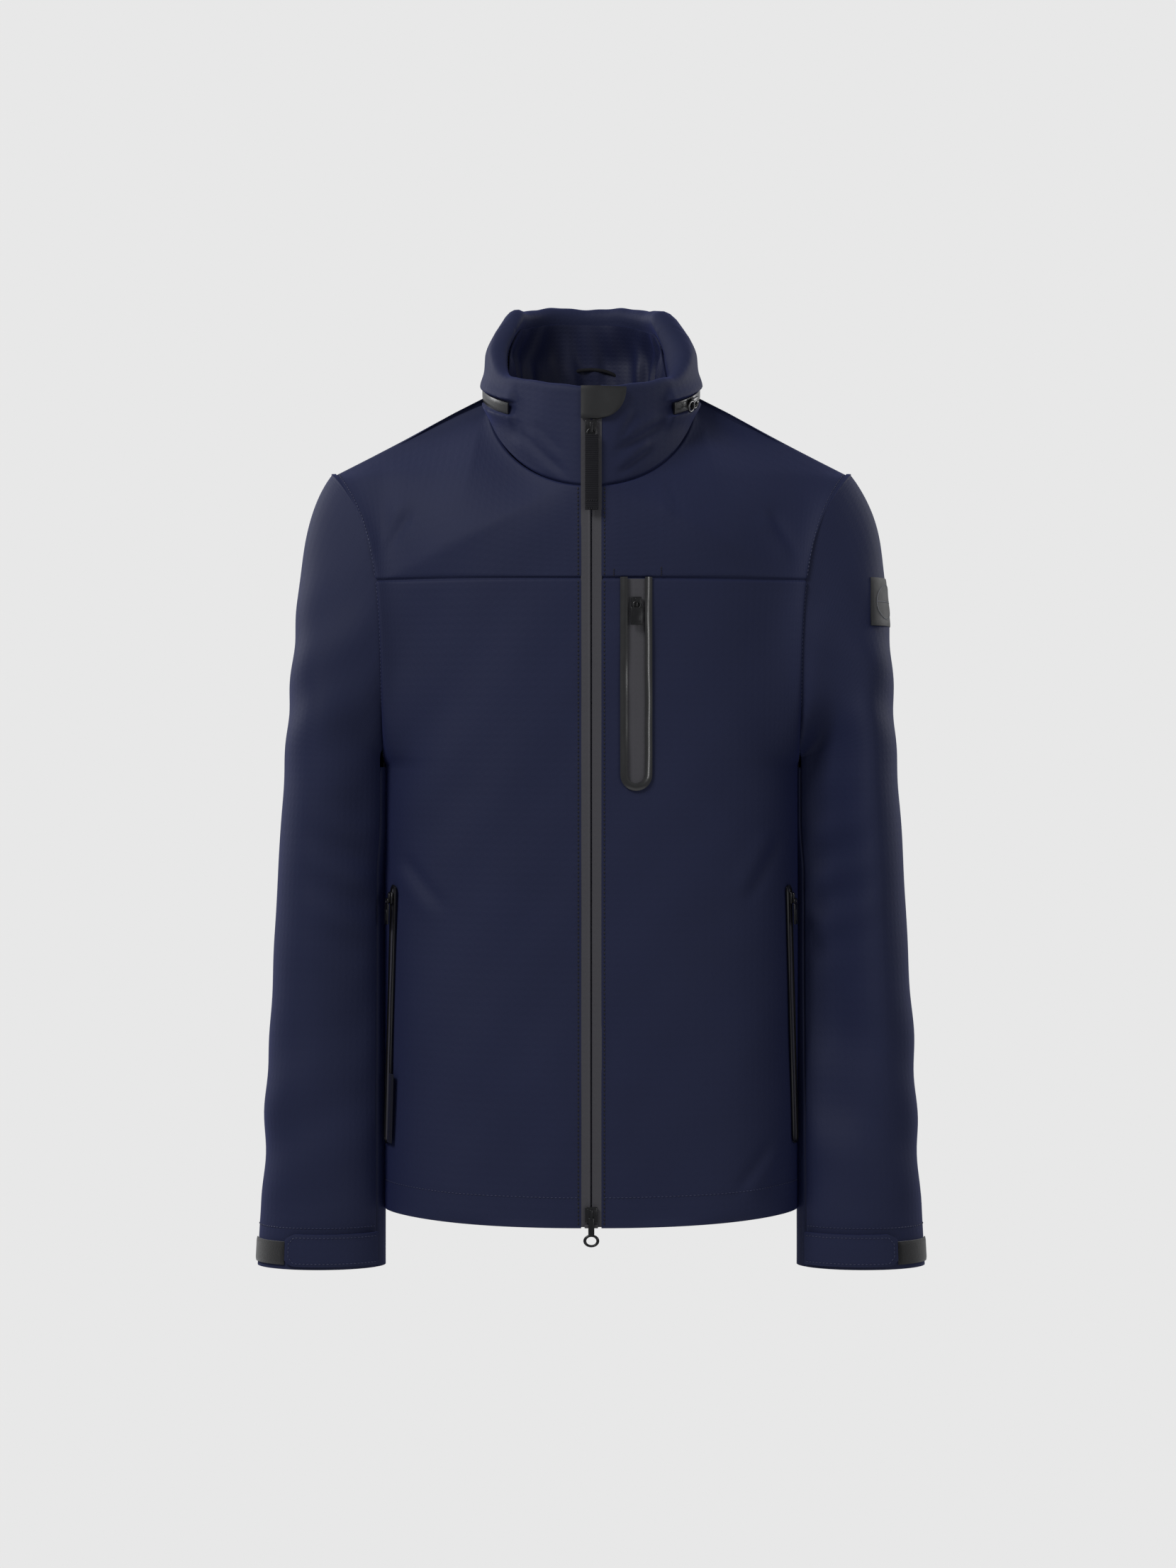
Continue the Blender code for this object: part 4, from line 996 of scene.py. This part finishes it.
SLIDER_Y = FRONT_Y - 0.0004
PULL_Y = FRONT_Y - 0.0050
CHEST_LONG = 0.1785
CHEST = surface_frame(0.0380, -0.1660 - CHEST_LONG / 2, 0.0009)
POCKET_TOP, POCKET_END = (0.1690, -0.4250), (0.1755, -0.6500)    # x and z of a hand pocket's ends

main_zip()
main_pull()
zip_ends()
pockets()
cuffs()
badge()
neck_trim()


# ---------------------------------------------------------------- floor, light and camera

VIEW_AWAY, VIEW_HIGH = 3.2, 1.3714      # the camera's distance and what it sees there, top to bottom
SENSOR = 24.0
LAMPS = (
    # name, place, size, power
    ("key", (-1.8, -2.0, 1.8), 1.3, 64),
    ("fill", (2.4, -2.2, 0.1), 2.2, 3),
    ("rim_left", (-2.2, 1.2, 0.8), 1.4, 30),
    ("rim_right", (2.2, 1.3, 0.6), 1.4, 22),
    ("strip", (1.7, -2.7, -0.25), 0.8, 9),
)


def studio():
    scene = bpy.context.scene
    scene.view_settings.view_transform = "Standard"
    bpy.ops.object.select_all(action="DESELECT")
    bpy.ops.mesh.primitive_cylinder_add(vertices=96, radius=0.95, depth=0.02, location=(0, -0.06, -1.35))
    floor = bpy.context.object
    floor.name = "floor"
    floor.data.materials.append(FLOOR)
    world = bpy.data.worlds.new("studio")
    scene.world = world
    world.use_nodes = True
    tree = world.node_tree
    tree.nodes.clear()
    seen = add(tree, "ShaderNodeBackground", {"Color": linear("#e8e8e8"), "Strength": 1.0})
    lit = add(tree, "ShaderNodeBackground", {"Color": linear("#eceef2"), "Strength": 0.33})
    rays = add(tree, "ShaderNodeLightPath")
    both = add(tree, "ShaderNodeMixShader", None,
               {0: rays.outputs["Is Camera Ray"], 1: lit.outputs[0], 2: seen.outputs[0]})
    add(tree, "ShaderNodeOutputWorld", None, {"Surface": both.outputs[0]})
    for name, place, size, power in LAMPS:
        lamp = bpy.data.lights.new(name, "AREA")
        lamp.shape = "DISK"
        lamp.size = size
        lamp.energy = power
        stand = bpy.data.objects.new(name, lamp)
        scene.collection.objects.link(stand)
        stand.location = place
        aim = Vector((0.0, -0.06, -0.36)) - Vector(place)
        stand.rotation_euler = aim.to_track_quat("-Z", "Y").to_euler()
    lens = bpy.data.cameras.new("camera")
    camera = bpy.data.objects.new("camera", lens)
    scene.collection.objects.link(camera)
    camera.location = (-0.0028, MID_Y + DATUM[1] - VIEW_AWAY, -0.3385 + DATUM[2])
    camera.rotation_euler = (math.radians(90), 0.0, 0.0)
    lens.sensor_fit = "VERTICAL"
    lens.sensor_height = SENSOR
    lens.lens = SENSOR * VIEW_AWAY / VIEW_HIGH
    lens.clip_end = 20.0
    scene.camera = camera


studio()
